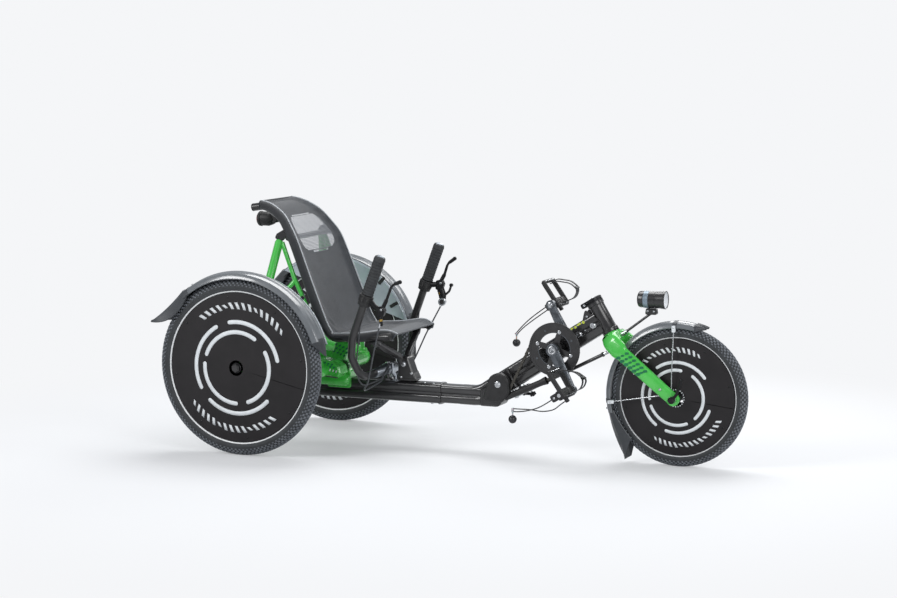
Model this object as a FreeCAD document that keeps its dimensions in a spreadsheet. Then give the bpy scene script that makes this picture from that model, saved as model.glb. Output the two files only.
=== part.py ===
# A recumbent delta trike: one steered front wheel, two rear wheels, a low beam,
# a sling seat, under-seat steering, and a crank on the sloping boom.
# Frame: +X forwards, +Y to the rider's left, +Z up. Origin on the floor, midway along the overall length.
import FreeCAD, Part
import math
import os
import Sketcher

VECTOR = FreeCAD.Vector
DOCUMENT = FreeCAD.newDocument("recumbent_trike")

# Driving sizes: (name, value in millimetres or degrees, meaning)
SIZES = [
    ("wheelbase", 1185, "rear axle to front axle"),
    ("tail_reach", 290, "rear axle back to the tips of the rear mudflaps"),
    ("rear_track", 622, "between the rear tyres' middles"),
    ("rear_rim_radius", 206, "where the rear tyres' beads sit"),
    ("rear_tyre_width", 47, "width of the rear tyres"),
    ("front_rim_radius", 156, "where the front tyre's beads sit"),
    ("front_tyre_width", 40, "width of the front tyre"),
    ("tyre_height_share", 0.9362, "height of a tyre above its bead, as a share of its width"),
    ("rear_tyre_radius", "=rear_rim_radius + tyre_height_share * rear_tyre_width",
     "outside radius of the rear tyres"),
    ("front_tyre_radius", "=front_rim_radius + tyre_height_share * front_tyre_width",
     "outside radius of the front tyre"),
    ("rim_half_width", 11, "half the width of a rim"),
    ("hub_radius", 26, "end face of a wheel's cover at the hub"),
    ("rear_hub_half", 28, "half the length of a rear hub"),
    ("front_hub_half", 34, "half the length of the front hub"),
    ("rear_pin_radius", 7.5, "rear axle shaft and stub"),
    ("front_pin_radius", 4.5, "front axle"),
    ("running_gap", 0.3, "radial clearance of a turning fit"),
    ("seat_gap", 0.3, "gap between soft parts and what carries them"),
    ("beam_half_width", 24, "half the width of the sliding front beam"),
    ("beam_half_height", 27, "half the height of the sliding front beam"),
    ("sleeve_wall", 2.5, "wall of the outer beam that the inner one slides in"),
    ("beam_height", 160, "floor to the beam's middle"),
    ("beam_start", 70, "rear axle forward to the beam's rear end"),
    ("sleeve_end", 488, "rear axle forward to the end of the outer beam"),
    ("elbow_reach", 610, "rear axle forward to the elbow's rear face"),
    ("elbow_half_width", 31, "half the width of the elbow"),
    ("head_angle", 59, "steering axis above the floor"),
    ("fork_offset", 82.5, "front axle ahead of the steering axis"),
    ("head_rise", "=front_tyre_radius + 51.5", "along the axis, opposite the axle to the head tube's foot"),
    ("head_length", 94, "length of the head tube"),
    ("head_radius", 23, "outside radius of the head tube"),
    ("steerer_radius", 15, "steerer tube inside the head tube"),
    ("boom_half_width", 21, "half the width of the boom"),
    ("boom_half_height", 31, "half the height of the boom"),
    ("crank_reach", 215, "along the boom from the elbow to the crank axle"),
    ("bottom_bracket_radius", 21, "outside radius of the bottom bracket shell"),
    ("bottom_bracket_half", 36, "half the length of the bottom bracket shell"),
    ("spindle_radius", 8, "crank axle"),
    ("crank_length", 122, "crank axle to pedal axle"),
    ("crank_angle", -62, "right crank from forward, negative is down"),
    ("crank_face", 80, "middle plane to the outer face of a crank arm"),
    ("crank_thickness", 16, "thickness of a crank arm"),
    ("chain_line", 52, "middle plane to the chainring"),
    ("chainring_radius", 75, "outside radius of the chainring and its guard"),
    ("chainring_bore_radius", 46, "inside radius of the chainring's band"),
    ("pedal_width", 88, "width of a pedal"),
    ("pedal_length", 88, "length of a pedal's plate along the foot"),
    ("pedal_lean", 55, "pedal plate above the floor"),
    ("pedal_pin_radius", 6, "pedal axle"),
    ("rail_radius", 11, "outside radius of the seat rails"),
    ("rail_bore_radius", 9, "bore in the open front ends of the seat rails"),
    ("rail_bore_depth", 40, "depth of that bore"),
    ("seat_half_width", 150, "middle plane to the seat rails"),
    ("headrest_half_width", 93, "middle plane to the rails' top ends"),
    ("cloth_thickness", 5, "thickness of the seat's sling"),
    ("cradle_radius", 10, "seat cradle tube"),
    ("strut_radius", 10, "main seat strut"),
    ("stay_radius", 6.5, "thin seat stay"),
    ("yoke_radius", 21, "rear yoke tube"),
    ("yoke_reach", 165, "rear axle forward to the yoke's cross tube"),
    ("yoke_height", "=rear_tyre_radius - 24", "floor to the yoke's cross tube"),
    ("guard_gap", 19, "tyre to the inside of its mudguard"),
    ("guard_wall", 3, "wall of a mudguard"),
    ("rear_guard_half_width", 32, "half the width of a rear mudguard"),
    ("front_guard_half_width", 27, "half the width of the front mudguard"),
    ("panel_wall", 3, "wall of the inner guard panels"),
    ("blade_half_width", 11, "half the thickness of a fork blade"),
    ("blade_middle", 58, "middle plane to the middle of a fork blade"),
    ("grip_span", 210, "middle plane to the grips"),
    ("bar_radius", 11, "handlebar tube"),
    ("grip_radius", 16.5, "handgrips"),
    ("bar_pivot_reach", 312, "rear axle forward to the handlebar's pivot"),
    ("bar_pivot_height", 219, "floor to the handlebar's cross tube"),
    ("linkage_arm_side", 32, "steering rod's eye to the side of the steering axis"),
    ("linkage_arm_back", 14, "steering rod's eye behind the steering axis"),
    ("linkage_left_arm", 46, "rear rod's eye to the left of each pivot"),
    ("rod_radius", 4.5, "steering rods"),
    ("rear_rod_height", 166, "floor to the rear steering rod"),
    ("cord_radius", 1.6, "pull cords of the foot straps"),
    ("ball_radius", 11.5, "balls on the pull cords"),
]


def make_sheet():
    sheet = DOCUMENT.addObject("Spreadsheet::Sheet", "sizes")
    for row, (name, value, meaning) in enumerate(SIZES, start=1):
        sheet.set("A%d" % row, meaning)
        sheet.set("B%d" % row, str(value))
        sheet.setAlias("B%d" % row, name)
    DOCUMENT.recompute()
    return sheet


SHEET = make_sheet()


def size(expression):
    """Value of an expression of the sheet's names."""
    return float(SHEET.evalExpression(expression.replace("sizes.", "")))


def bind(thing, prop, expression):
    thing.setExpression(prop, expression)


NODES = []


def name_node(thing, label):
    """Mark an object as one of the trike's own pieces."""
    thing.Label = label
    NODES.append(thing)
    return thing


# ---------------------------------------------------------------- shapes

def along(direction):
    """Turn that carries +Z to a direction."""
    return FreeCAD.Rotation(VECTOR(0, 0, 1), direction)


def cylinder(name, start, direction, radius, height):
    """Part cylinder; radius and height are expressions."""
    thing = DOCUMENT.addObject("Part::Cylinder", name)
    bind(thing, "Radius", radius)
    bind(thing, "Height", height)
    thing.Placement = FreeCAD.Placement(start, along(direction))
    return thing


def box(name, middle, length, width, height, turn=FreeCAD.Rotation()):
    """Part box about its middle; the three sizes are expressions."""
    thing = DOCUMENT.addObject("Part::Box", name)
    bind(thing, "Length", length)
    bind(thing, "Width", width)
    bind(thing, "Height", height)
    half = VECTOR(size(length) / 2, size(width) / 2, size(height) / 2)
    thing.Placement = FreeCAD.Placement(middle - turn.multVec(half), turn)
    return thing


def ball(name, middle, radius):
    thing = DOCUMENT.addObject("Part::Sphere", name)
    bind(thing, "Radius", radius)
    thing.Placement.Base = middle
    return thing


def fixed(name, shape):
    """A shape that no primitive or sketch gives, such as a bent tube."""
    thing = DOCUMENT.addObject("Part::Feature", name)
    thing.Shape = shape
    return thing


def fuse(name, pieces):
    thing = DOCUMENT.addObject("Part::MultiFuse", name)
    thing.Shapes = pieces
    return thing


def cut(name, base, tool):
    thing = DOCUMENT.addObject("Part::Cut", name)
    thing.Base = base
    thing.Tool = tool
    return thing


def group(name, pieces):
    """Separate solids that share one node."""
    thing = DOCUMENT.addObject("Part::Compound", name)
    thing.Links = pieces
    return thing


def origin_plane(body, role):
    return [plane for plane in body.Origin.OriginFeatures if plane.Role == role][0]


def pin_point(sketch, item, end, x_expression, y_expression):
    """Hold one sketch point at two expressions of the sheet."""
    for kind, axis, expression in (("DistanceX", -2, x_expression), ("DistanceY", -1, y_expression)):
        value = size(expression)
        if abs(value) < 1e-9:
            sketch.addConstraint(Sketcher.Constraint("PointOnObject", item, end, axis))
            continue
        index = sketch.addConstraint(Sketcher.Constraint(kind, -1, 1, item, end, value))
        bind(sketch, "Constraints[%d]" % index, expression)


def outline_sketch(body, role, corners):
    """Closed sketch through corners given as pairs of expressions."""
    sketch = body.newObject("Sketcher::SketchObject", body.Name + "_outline")
    sketch.AttachmentSupport = (origin_plane(body, role), [""])
    sketch.MapMode = "FlatFace"
    points = [VECTOR(size(x), size(y), 0) for x, y in corners]
    count = len(points)
    for index in range(count):
        line = Part.LineSegment(points[index], points[(index + 1) % count])
        sketch.addGeometry(line, False)
    for index in range(count):
        sketch.addConstraint(Sketcher.Constraint("Coincident", index, 2, (index + 1) % count, 1))
    for index, (x, y) in enumerate(corners):
        pin_point(sketch, index, 1, x, y)
    return sketch


def padded_plate(name, role, corners, thickness):
    """Body padded both ways from a plane."""
    body = DOCUMENT.addObject("PartDesign::Body", name)
    sketch = outline_sketch(body, role, corners)
    pad = body.newObject("PartDesign::Pad", name + "_pad")
    pad.Profile = sketch
    pad.SideType = "Symmetric"
    bind(pad, "Length", thickness)
    sketch.Visibility = False
    return body


def turned_body(name, corners):
    """Body turned about the Y axis; corners are (radius, sideways) expressions."""
    body = DOCUMENT.addObject("PartDesign::Body", name)
    sketch = outline_sketch(body, "XY_Plane", corners)
    turning = body.newObject("PartDesign::Revolution", name + "_turn")
    turning.Profile = sketch
    turning.ReferenceAxis = (sketch, ["V_Axis"])
    turning.Angle = 360
    return body


def rounded_path(points, radii=None):
    """Wire of straight runs joined by tangent arcs; also the radii used."""
    edges = []
    used = []
    start = points[0]
    for index in range(1, len(points) - 1):
        before, corner, after = points[index - 1], points[index], points[index + 1]
        into = corner - before
        out = after - corner
        turn = into.getAngle(out)
        shorter = min(into.Length, out.Length)
        radius = 0.45 * shorter / math.tan(turn / 2)
        if radii and radii[index - 1]:
            radius = min(radius, radii[index - 1])
        reach = radius * math.tan(turn / 2)
        into.normalize()
        out.normalize()
        first = corner - into * reach
        last = corner + out * reach
        inward = out - into
        inward.normalize()
        middle = corner + inward * (radius / math.cos(turn / 2) - radius)
        edges.append(Part.LineSegment(start, first).toShape())
        edges.append(Part.Arc(first, middle, last).toShape())
        used.append(radius)
        start = last
    edges.append(Part.LineSegment(start, points[-1]).toShape())
    return Part.Wire(edges), used


def tube_shape(points, radius, radii=None):
    """Solid tube along a rounded path."""
    path, used = rounded_path(points, radii)
    direction = points[1] - points[0]
    ring = Part.Wire(Part.makeCircle(radius, points[0], direction))
    return path.makePipeShell([ring], True, False)


def band_shape(points, thickness, half_width, radii=None):
    """Flat band along a path that stays in one upright plane; its width runs sideways."""
    path, used = rounded_path(points, radii)
    direction = points[1] - points[0]
    direction.normalize()
    normal = direction.cross(VECTOR(0, 1, 0)) * (thickness / 2)
    side = VECTOR(0, half_width, 0)
    corners = [points[0] + normal + side, points[0] - normal + side]
    corners += [points[0] - normal - side, points[0] + normal - side]
    ring = Part.makePolygon(corners + corners[:1])
    return path.makePipeShell([ring], True, False)


def sheet_loft(sections):
    """Thin straight-sided sheet through (middle, half width, thickness vector) sections."""
    rings = []
    for middle, half_width, thick in sections:
        side = VECTOR(0, half_width, 0)
        corners = [middle + side, middle - side, middle - side + thick, middle + side + thick]
        rings.append(Part.makePolygon(corners + corners[:1]))
    return Part.makeLoft(rings, True, True)


# ---------------------------------------------------------------- places

REAR_X = size("(tail_reach - wheelbase - front_tyre_radius) / 2")
FRONT_X = REAR_X + size("wheelbase")
REAR_Z = size("rear_tyre_radius")
FRONT_Z = size("front_tyre_radius")
RIGHT, LEFT = -1, 1
SIDES = (("right", RIGHT), ("left", LEFT))
FORWARD = VECTOR(1, 0, 0)
SIDEWAYS = VECTOR(0, 1, 0)
UP = VECTOR(0, 0, 1)


def from_rear(x, y, z):
    """Point given from the rear axle's middle along X and from the floor."""
    return VECTOR(REAR_X + x, y, z)


def in_plane(angle_degrees):
    """Unit vector in the upright middle plane; 0 is forwards and 90 is up."""
    angle = math.radians(angle_degrees)
    return VECTOR(math.cos(angle), 0, math.sin(angle))


HEAD_AXIS = in_plane(180 - size("head_angle"))
HEAD_ACROSS = in_plane(90 - size("head_angle"))
FRONT_AXLE = VECTOR(FRONT_X, 0, FRONT_Z)
AXIS_FOOT = FRONT_AXLE - HEAD_ACROSS * size("fork_offset")
HEAD_FOOT = AXIS_FOOT + HEAD_AXIS * size("head_rise")
BOOM_END = HEAD_FOOT + HEAD_AXIS * size("0.4 * head_length")
ELBOW = from_rear(size("elbow_reach") + 52, 0, size("beam_height") + 35)
BOOM = BOOM_END - ELBOW
BOOM.normalize()
BOOM_UP = VECTOR(-BOOM.z, 0, BOOM.x)
CRANK = ELBOW + BOOM * size("crank_reach")
BELL_PIVOT = ELBOW + BOOM * 52 - BOOM_UP * (size("boom_half_height") + 11)
EYE_DROP = 11
BEAM_TOP = size("beam_height + beam_half_height + sleeve_wall")


def rail_points(side):
    """Seat rail from its top end down the back and out to its open front end."""
    narrow = size("headrest_half_width") * side
    wide = size("seat_half_width") * side
    return [
        from_rear(-68, narrow, 682),
        from_rear(-30, narrow * 1.02, 688),
        from_rear(34, narrow * 1.28, 658),
        from_rear(84, wide * 0.97, 592),
        from_rear(178, wide, 360),
        from_rear(205, wide, 321),
        from_rear(385, wide, 334),
    ]


# ---------------------------------------------------------------- wheels

def tyre(label, middle, tyre_radius, tyre_width, rim_radius):
    """Round tyre section cut off flat where it sits on the rim."""
    body = DOCUMENT.addObject("PartDesign::Body", label)
    sketch = body.newObject("Sketcher::SketchObject", label + "_section")
    sketch.AttachmentSupport = (origin_plane(body, "XY_Plane"), [""])
    sketch.MapMode = "FlatFace"
    half = "(%s / 2)" % tyre_width
    middle_radius = "(%s - %s)" % (tyre_radius, half)
    opening = math.acos(size("(%s - %s) / %s" % (rim_radius, middle_radius, half)))
    circle = Part.Circle(VECTOR(size(middle_radius), 0, 0), UP, size(half))
    arc = Part.ArcOfCircle(circle, -opening, opening)
    sketch.addGeometry(arc, False)
    sketch.addGeometry(Part.LineSegment(arc.EndPoint, arc.StartPoint), False)
    sketch.addConstraint(Sketcher.Constraint("Coincident", 0, 2, 1, 1))
    sketch.addConstraint(Sketcher.Constraint("Coincident", 1, 2, 0, 1))
    sketch.addConstraint(Sketcher.Constraint("PointOnObject", 0, 3, -1))
    index = sketch.addConstraint(Sketcher.Constraint("DistanceX", -1, 1, 0, 3, size(middle_radius)))
    bind(sketch, "Constraints[%d]" % index, middle_radius)
    index = sketch.addConstraint(Sketcher.Constraint("Radius", 0, size(half)))
    bind(sketch, "Constraints[%d]" % index, half)
    sketch.addConstraint(Sketcher.Constraint("Vertical", 1))
    index = sketch.addConstraint(Sketcher.Constraint("DistanceX", -1, 1, 1, 1, size(rim_radius)))
    bind(sketch, "Constraints[%d]" % index, rim_radius)
    turning = body.newObject("PartDesign::Revolution", label + "_turn")
    turning.Profile = sketch
    turning.ReferenceAxis = (sketch, ["V_Axis"])
    turning.Angle = 360
    body.Placement.Base = middle
    return name_node(body, label)


def covered_wheel(label, middle, rim_radius, hub_half, pin_radius):
    """Rim closed by a shallow cone on each side, with the hub's bore right through."""
    bore = "(%s + sizes.running_gap)" % pin_radius
    rim = "sizes.rim_half_width"
    corners = [
        (bore, hub_half),
        ("sizes.hub_radius", hub_half),
        ("(%s - 12)" % rim_radius, "(%s + 1.5)" % rim),
        (rim_radius, rim),
        (rim_radius, "-" + rim),
        ("(%s - 12)" % rim_radius, "-(%s + 1.5)" % rim),
        ("sizes.hub_radius", "-" + hub_half),
        (bore, "-" + hub_half),
    ]
    body = turned_body(label, corners)
    body.Placement.Base = middle
    return name_node(body, label)


def make_wheels():
    for name, side in SIDES:
        middle = VECTOR(REAR_X, side * size("rear_track / 2"), REAR_Z)
        tyre("rear_tyre_" + name, middle, "sizes.rear_tyre_radius", "sizes.rear_tyre_width",
             "sizes.rear_rim_radius")
        covered_wheel("rear_wheel_" + name, middle, "sizes.rear_rim_radius", "sizes.rear_hub_half",
                      "sizes.rear_pin_radius")
    tyre("front_tyre", FRONT_AXLE, "sizes.front_tyre_radius", "sizes.front_tyre_width",
         "sizes.front_rim_radius")
    covered_wheel("front_wheel", FRONT_AXLE, "sizes.front_rim_radius", "sizes.front_hub_half",
                  "sizes.front_pin_radius")


# ---------------------------------------------------------------- chain's line

CHAIN_RADIUS = 70
TUBE_BACK = ELBOW + VECTOR(34, -size("chain_line"), -28)


def tangent_run(point, middle, radius):
    """Unit vector from a point to where a line touches the underside of a circle."""
    run = middle - point
    distance = math.hypot(run.x, run.z)
    angle = math.atan2(run.z, run.x) - math.asin(radius / distance)
    return in_plane(math.degrees(angle))


TUBE_RUN = tangent_run(TUBE_BACK, CRANK, CHAIN_RADIUS)


# ---------------------------------------------------------------- beam, elbow, boom, head tube

def ribbed_bar(half_width, half_height):
    """Corners of the extrusion: two stacked lobes with a groove along each side."""
    corner = 7
    groove = 4
    right_top = [
        (half_width, "%d" % groove),
        (half_width, "(%s - %d)" % (half_height, corner)),
        ("(%s - %d)" % (half_width, corner), half_height),
    ]
    corners = [("(%s - %d)" % (half_width, groove), "0")] + right_top
    corners += [("-" + x, z) for x, z in reversed(right_top)]
    corners += [("-(%s - %d)" % (half_width, groove), "0")]
    corners += [("-" + x, "-" + z) for x, z in right_top]
    corners += [(x, "-" + z) for x, z in reversed(right_top)]
    return corners


def bar_between(name, start, direction, length, half_width, half_height):
    """Ribbed extrusion from a point along a direction in the middle plane."""
    body = DOCUMENT.addObject("PartDesign::Body", name)
    sketch = outline_sketch(body, "YZ_Plane", ribbed_bar(half_width, half_height))
    pad = body.newObject("PartDesign::Pad", name + "_pad")
    pad.Profile = sketch
    bind(pad, "Length", length)
    tilt = -math.degrees(math.atan2(direction.z, direction.x))
    body.Placement = FreeCAD.Placement(start, FreeCAD.Rotation(SIDEWAYS, tilt))
    return body


def make_beam():
    start = from_rear(size("beam_start"), 0, size("beam_height"))
    width = "(sizes.beam_half_width + sizes.sleeve_wall)"
    height = "(sizes.beam_half_height + sizes.sleeve_wall)"
    outer = bar_between("outer_beam", start, FORWARD, "sizes.sleeve_end - sizes.beam_start", width, height)
    inner_start = from_rear(size("sleeve_end"), 0, size("beam_height"))
    inner = bar_between("inner_beam", inner_start, FORWARD, "sizes.elbow_reach - sizes.sleeve_end",
                        "sizes.beam_half_width", "sizes.beam_half_height")
    mouth = box("beam_mouth", start + VECTOR(15, 0, 12), "32", "14", "60")
    pivot = from_rear(size("bar_pivot_reach"), 0, BEAM_TOP)
    foot = cylinder("pivot_foot", pivot - UP * 2, UP, "15", "8")
    post_height = size("bar_pivot_height - bar_radius") - BEAM_TOP - 1
    post = cylinder("pivot_pin", pivot, UP, "6", "%g" % post_height)
    name_node(fuse("rear_beam", [cut("outer_open", outer, mouth), foot, post]), "rear_beam")
    name_node(inner, "front_beam")


BOOM_START = 10
CASE_MIDDLE = ELBOW + VECTOR(16, -size("chain_line"), 9)
CASE_RADIUS = 38
CASE_INNER, CASE_OUTER = 46, 65


def boom_solid(name):
    """The boom's extrusion from the elbow's socket to the head tube's middle."""
    start = ELBOW + BOOM * BOOM_START
    length = "%.4f" % (BOOM_END - start).Length
    return bar_between(name, start, BOOM, length, "sizes.boom_half_width", "sizes.boom_half_height")


def make_elbow():
    """Casting that joins the beam to the boom, which sits in its socket."""
    rear = size("elbow_reach") + REAR_X
    low = size("beam_height - beam_half_height") - 2
    high = size("beam_height + beam_half_height") + 2
    top = ELBOW + BOOM * 54 + BOOM_UP * (size("boom_half_height") + 4)
    nose = ELBOW + BOOM * 8 - BOOM_UP * (size("boom_half_height") + 2)
    outline = [
        (rear, low),
        (rear, high),
        (rear + 18, high + 25),
        (rear + 40, high + 43),
        (top.x, top.z),
        (nose.x, nose.z),
        (rear + 60, low),
    ]
    corners = [("%.4f" % x, "%.4f" % z) for x, z in outline]
    plate = padded_plate("elbow_plate", "XZ_Plane", corners, "2 * sizes.elbow_half_width")
    name_node(cut("elbow", plate, boom_solid("boom_socket")), "elbow")


def make_idler_case():
    """Drum on the elbow's right side in which the chain turns into the beam."""
    middle_x, middle_z = CASE_MIDDLE.x, CASE_MIDDLE.z
    drum = cylinder("case_drum", VECTOR(middle_x, -CASE_OUTER, middle_z), SIDEWAYS, "%g" % CASE_RADIUS,
                    "%g" % (CASE_OUTER - CASE_INNER))
    neck = cylinder("case_neck", VECTOR(middle_x - 10, -CASE_INNER - 2, middle_z + 3), SIDEWAYS, "22",
                    "%g - sizes.elbow_half_width" % (CASE_INNER + 2))
    bolt = cylinder("case_bolt", VECTOR(middle_x, -CASE_OUTER - 4, middle_z), SIDEWAYS, "7", "5")
    slot = box("case_slot", CASE_MIDDLE + VECTOR(CASE_RADIUS - 4, 0, 2), "34", "12", "50")
    tube_way = cylinder("case_tube_way", TUBE_BACK - TUBE_RUN * 30, TUBE_RUN, "9.3", "90")
    opened = cut("case_slotted", fuse("case_whole", [drum, neck, bolt]), slot)
    name_node(cut("idler_case", opened, tube_way), "idler_case")


def make_boom():
    """Boom, bored for the bottom bracket, ended on the head tube, with the bell crank's bolt."""
    hole = cylinder("boom_hole", CRANK + SIDEWAYS * -60, SIDEWAYS, "sizes.bottom_bracket_radius", "120")
    saddle = cylinder("boom_end", HEAD_FOOT - HEAD_AXIS * 20, HEAD_AXIS, "sizes.head_radius",
                      "sizes.head_length + 40")
    opened = cut("boom_opened", cut("boom_bored", boom_solid("boom_bar"), hole), saddle)
    bolt = cylinder("bell_bolt", BELL_PIVOT - HEAD_AXIS * 8, HEAD_AXIS, "5", "24")
    head = cylinder("bell_bolt_head", BELL_PIVOT - HEAD_AXIS * 11, HEAD_AXIS, "9", "4")
    washer = cylinder("bell_washer", BELL_PIVOT + HEAD_AXIS * 6.3, HEAD_AXIS, "9", "6")
    name_node(fuse("front_boom", [opened, bolt, head, washer]), "front_boom")

    half = size("bottom_bracket_half")
    shell = cylinder("bracket_shell", CRANK - SIDEWAYS * half, SIDEWAYS, "sizes.bottom_bracket_radius",
                     "2 * sizes.bottom_bracket_half")
    bore = cylinder("bracket_bore", CRANK - SIDEWAYS * (half + 1), SIDEWAYS,
                    "sizes.spindle_radius + sizes.running_gap", "2 * sizes.bottom_bracket_half + 2")
    name_node(cut("bottom_bracket", shell, bore), "bottom_bracket")


def make_head_tube():
    outer = cylinder("head_outer", HEAD_FOOT, HEAD_AXIS, "sizes.head_radius", "sizes.head_length")
    bore = cylinder("head_bore", HEAD_FOOT - HEAD_AXIS, HEAD_AXIS,
                    "sizes.steerer_radius + sizes.running_gap", "sizes.head_length + 2")
    name_node(cut("head_tube", outer, bore), "head_tube")


# ---------------------------------------------------------------- rear yoke, axle, seat struts

def yoke_points():
    end = size("rear_track / 2 - rear_hub_half - yoke_radius") - 5
    return [
        VECTOR(REAR_X, -end, REAR_Z),
        from_rear(size("yoke_reach") * 0.5, -end + 14, size("yoke_height") + 12),
        from_rear(size("yoke_reach"), -end + 95, size("yoke_height")),
        from_rear(size("yoke_reach"), end - 95, size("yoke_height")),
        from_rear(size("yoke_reach") * 0.5, end - 14, size("yoke_height") + 12),
        VECTOR(REAR_X, end, REAR_Z),
    ]


def make_rear_yoke():
    """Bent green tube from wheel to wheel, with axle carriers, beam saddle and the shaft's lug."""
    points = yoke_points()
    tube = fixed("yoke_tube", tube_shape(points, size("yoke_radius")))
    end = size("rear_track / 2 - rear_hub_half") - 4
    pieces = [tube]
    for name, side in SIDES:
        start = VECTOR(REAR_X, side * (end - 44), REAR_Z)
        pieces.append(cylinder("carrier_" + name, start, SIDEWAYS * side, "24", "44"))
    reach = size("yoke_reach")
    saddle_width = size("beam_half_width + sleeve_wall")
    saddle_middle = from_rear(reach + 6, 0, (BEAM_TOP + size("yoke_height")) / 2)
    pieces.append(box("saddle_top", saddle_middle, "76", "64", "%g" % (size("yoke_height") - BEAM_TOP)))
    for name, side in SIDES:
        cheek = from_rear(reach + 6, side * (saddle_width + 3), BEAM_TOP - 10)
        pieces.append(box("cheek_" + name, cheek, "76", "6", "28"))
    riser = from_rear(reach + 8, 0, size("yoke_height") + 40)
    pieces.append(box("seat_riser", riser, "46", "56", "66", FreeCAD.Rotation(SIDEWAYS, 20)))
    lug_start = from_rear(-16, 17, REAR_Z)
    lug_run = from_rear(reach, 17, size("yoke_height")) - from_rear(0, 17, REAR_Z)
    lug_turn = FreeCAD.Rotation(SIDEWAYS, -math.degrees(math.atan2(lug_run.z, lug_run.x)))
    lug_middle = lug_start + VECTOR(lug_run.x / 2 + 8, 0, lug_run.z / 2)
    pieces.append(box("shaft_lug", lug_middle, "%g" % (lug_run.Length + 12), "9", "44", lug_turn))
    solid = fuse("yoke_solid", pieces)
    span = size("rear_track") + 100
    bore = cylinder("left_bore", VECTOR(REAR_X, 0, REAR_Z), SIDEWAYS,
                    "sizes.rear_pin_radius + sizes.running_gap", "%g" % (span / 2))
    beam_clear = box("beam_clear", from_rear(reach, 0, size("beam_height")), "140",
                     "2 * (sizes.beam_half_width + sizes.sleeve_wall)",
                     "2 * (sizes.beam_half_height + sizes.sleeve_wall)")
    opened = cut("yoke_opened", cut("yoke_bored", solid, bore), beam_clear)
    hub_outer = size("rear_track / 2 + rear_hub_half")
    stub = cylinder("right_stub", VECTOR(REAR_X, -(end - 6), REAR_Z), -SIDEWAYS, "sizes.rear_pin_radius",
                    "%g" % (hub_outer - end + 8))
    nut = cylinder("right_nut", VECTOR(REAR_X, -(hub_outer + 1), REAR_Z), -SIDEWAYS, "12", "5")
    name_node(fuse("rear_yoke", [opened, stub, nut]), "rear_yoke")


SPROCKET_RADIUS = 36


def make_rear_axle():
    """Driven shaft to the left wheel, with its sprocket near the middle plane."""
    hub_outer = size("rear_track / 2 + rear_hub_half")
    shaft = cylinder("shaft", VECTOR(REAR_X, -20, REAR_Z), SIDEWAYS, "sizes.rear_pin_radius",
                     "%g" % (hub_outer + 22))
    nut = cylinder("left_nut", VECTOR(REAR_X, hub_outer + 1, REAR_Z), SIDEWAYS, "12", "5")
    sprocket = cylinder("sprocket", VECTOR(REAR_X, -2, REAR_Z), SIDEWAYS, "%g" % SPROCKET_RADIUS, "4")
    name_node(fuse("rear_axle", [shaft, nut, sprocket]), "rear_axle")


STAY_INSET = 11


def seat_stay_shapes(side):
    """Main strut, thin stay and the brace between them, on one side."""
    end = size("rear_track / 2 - rear_hub_half") - 30
    wide = size("seat_half_width")
    top = from_rear(27, side * (wide - STAY_INSET), 588)
    foot = from_rear(-10, side * end, REAR_Z + 15)
    strut = tube_shape([top, foot], size("strut_radius"))
    stay_top = from_rear(38, side * (wide - STAY_INSET), 584)
    bend = from_rear(84, side * (wide - 7), 487)
    low = from_rear(148, side * (wide - 2), 366)
    stay_foot = from_rear(size("yoke_reach"), side * wide, size("yoke_height") + 15)
    stay = tube_shape([stay_top, bend, low, stay_foot], size("stay_radius"))
    brace_end = foot + (top - foot) * 0.27
    brace = tube_shape([bend, brace_end], size("stay_radius"))
    carrier = Part.makeCylinder(24.2, 70, VECTOR(REAR_X, side * (end - 40), REAR_Z), SIDEWAYS * side)
    yoke = tube_shape(yoke_points(), size("yoke_radius") + 0.2)
    return strut.fuse([stay, brace]).cut([carrier, yoke])


def make_seat_stays():
    for name, side in SIDES:
        bracket_middle = from_rear(32, side * (size("seat_half_width") - STAY_INSET), 606)
        bracket = box("stay_bracket_" + name, bracket_middle, "44", "14", "44",
                      FreeCAD.Rotation(SIDEWAYS, 22))
        rail = fixed("stay_rail_" + name, tube_shape(rail_points(side), size("rail_radius + seat_gap")))
        head = cut("stay_head_" + name, bracket, rail)
        tubes = fixed("stay_tubes_" + name, seat_stay_shapes(side))
        name_node(fuse("seat_stays_" + name, [head, tubes]), "seat_stays_" + name)


# ---------------------------------------------------------------- seat

def make_seat_frame():
    """Two rails with open front ends, joined by cross bars."""
    pieces = []
    for name, side in SIDES:
        points = rail_points(side)
        rail = fixed("rail_" + name, tube_shape(points, size("rail_radius")))
        bore = cylinder("rail_bore_" + name, points[-1], points[-2] - points[-1], "sizes.rail_bore_radius",
                        "sizes.rail_bore_depth")
        pieces.append(cut("rail_open_" + name, rail, bore))
    wide = size("seat_half_width")
    bars = [("top_bar", from_rear(-46, 0, 684), size("headrest_half_width")),
            ("back_bar", from_rear(73, 0, 607), wide * 0.96),
            ("low_bar", from_rear(186, 0, 345), wide),
            ("base_bar", from_rear(322, 0, 329.5), wide)]
    for label, middle, half in bars:
        start = middle - SIDEWAYS * half
        pieces.append(cylinder(label, start, SIDEWAYS, "sizes.rail_radius - 3", "%g" % (2 * half)))
    name_node(fuse("seat_frame", pieces), "seat_frame")


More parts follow.
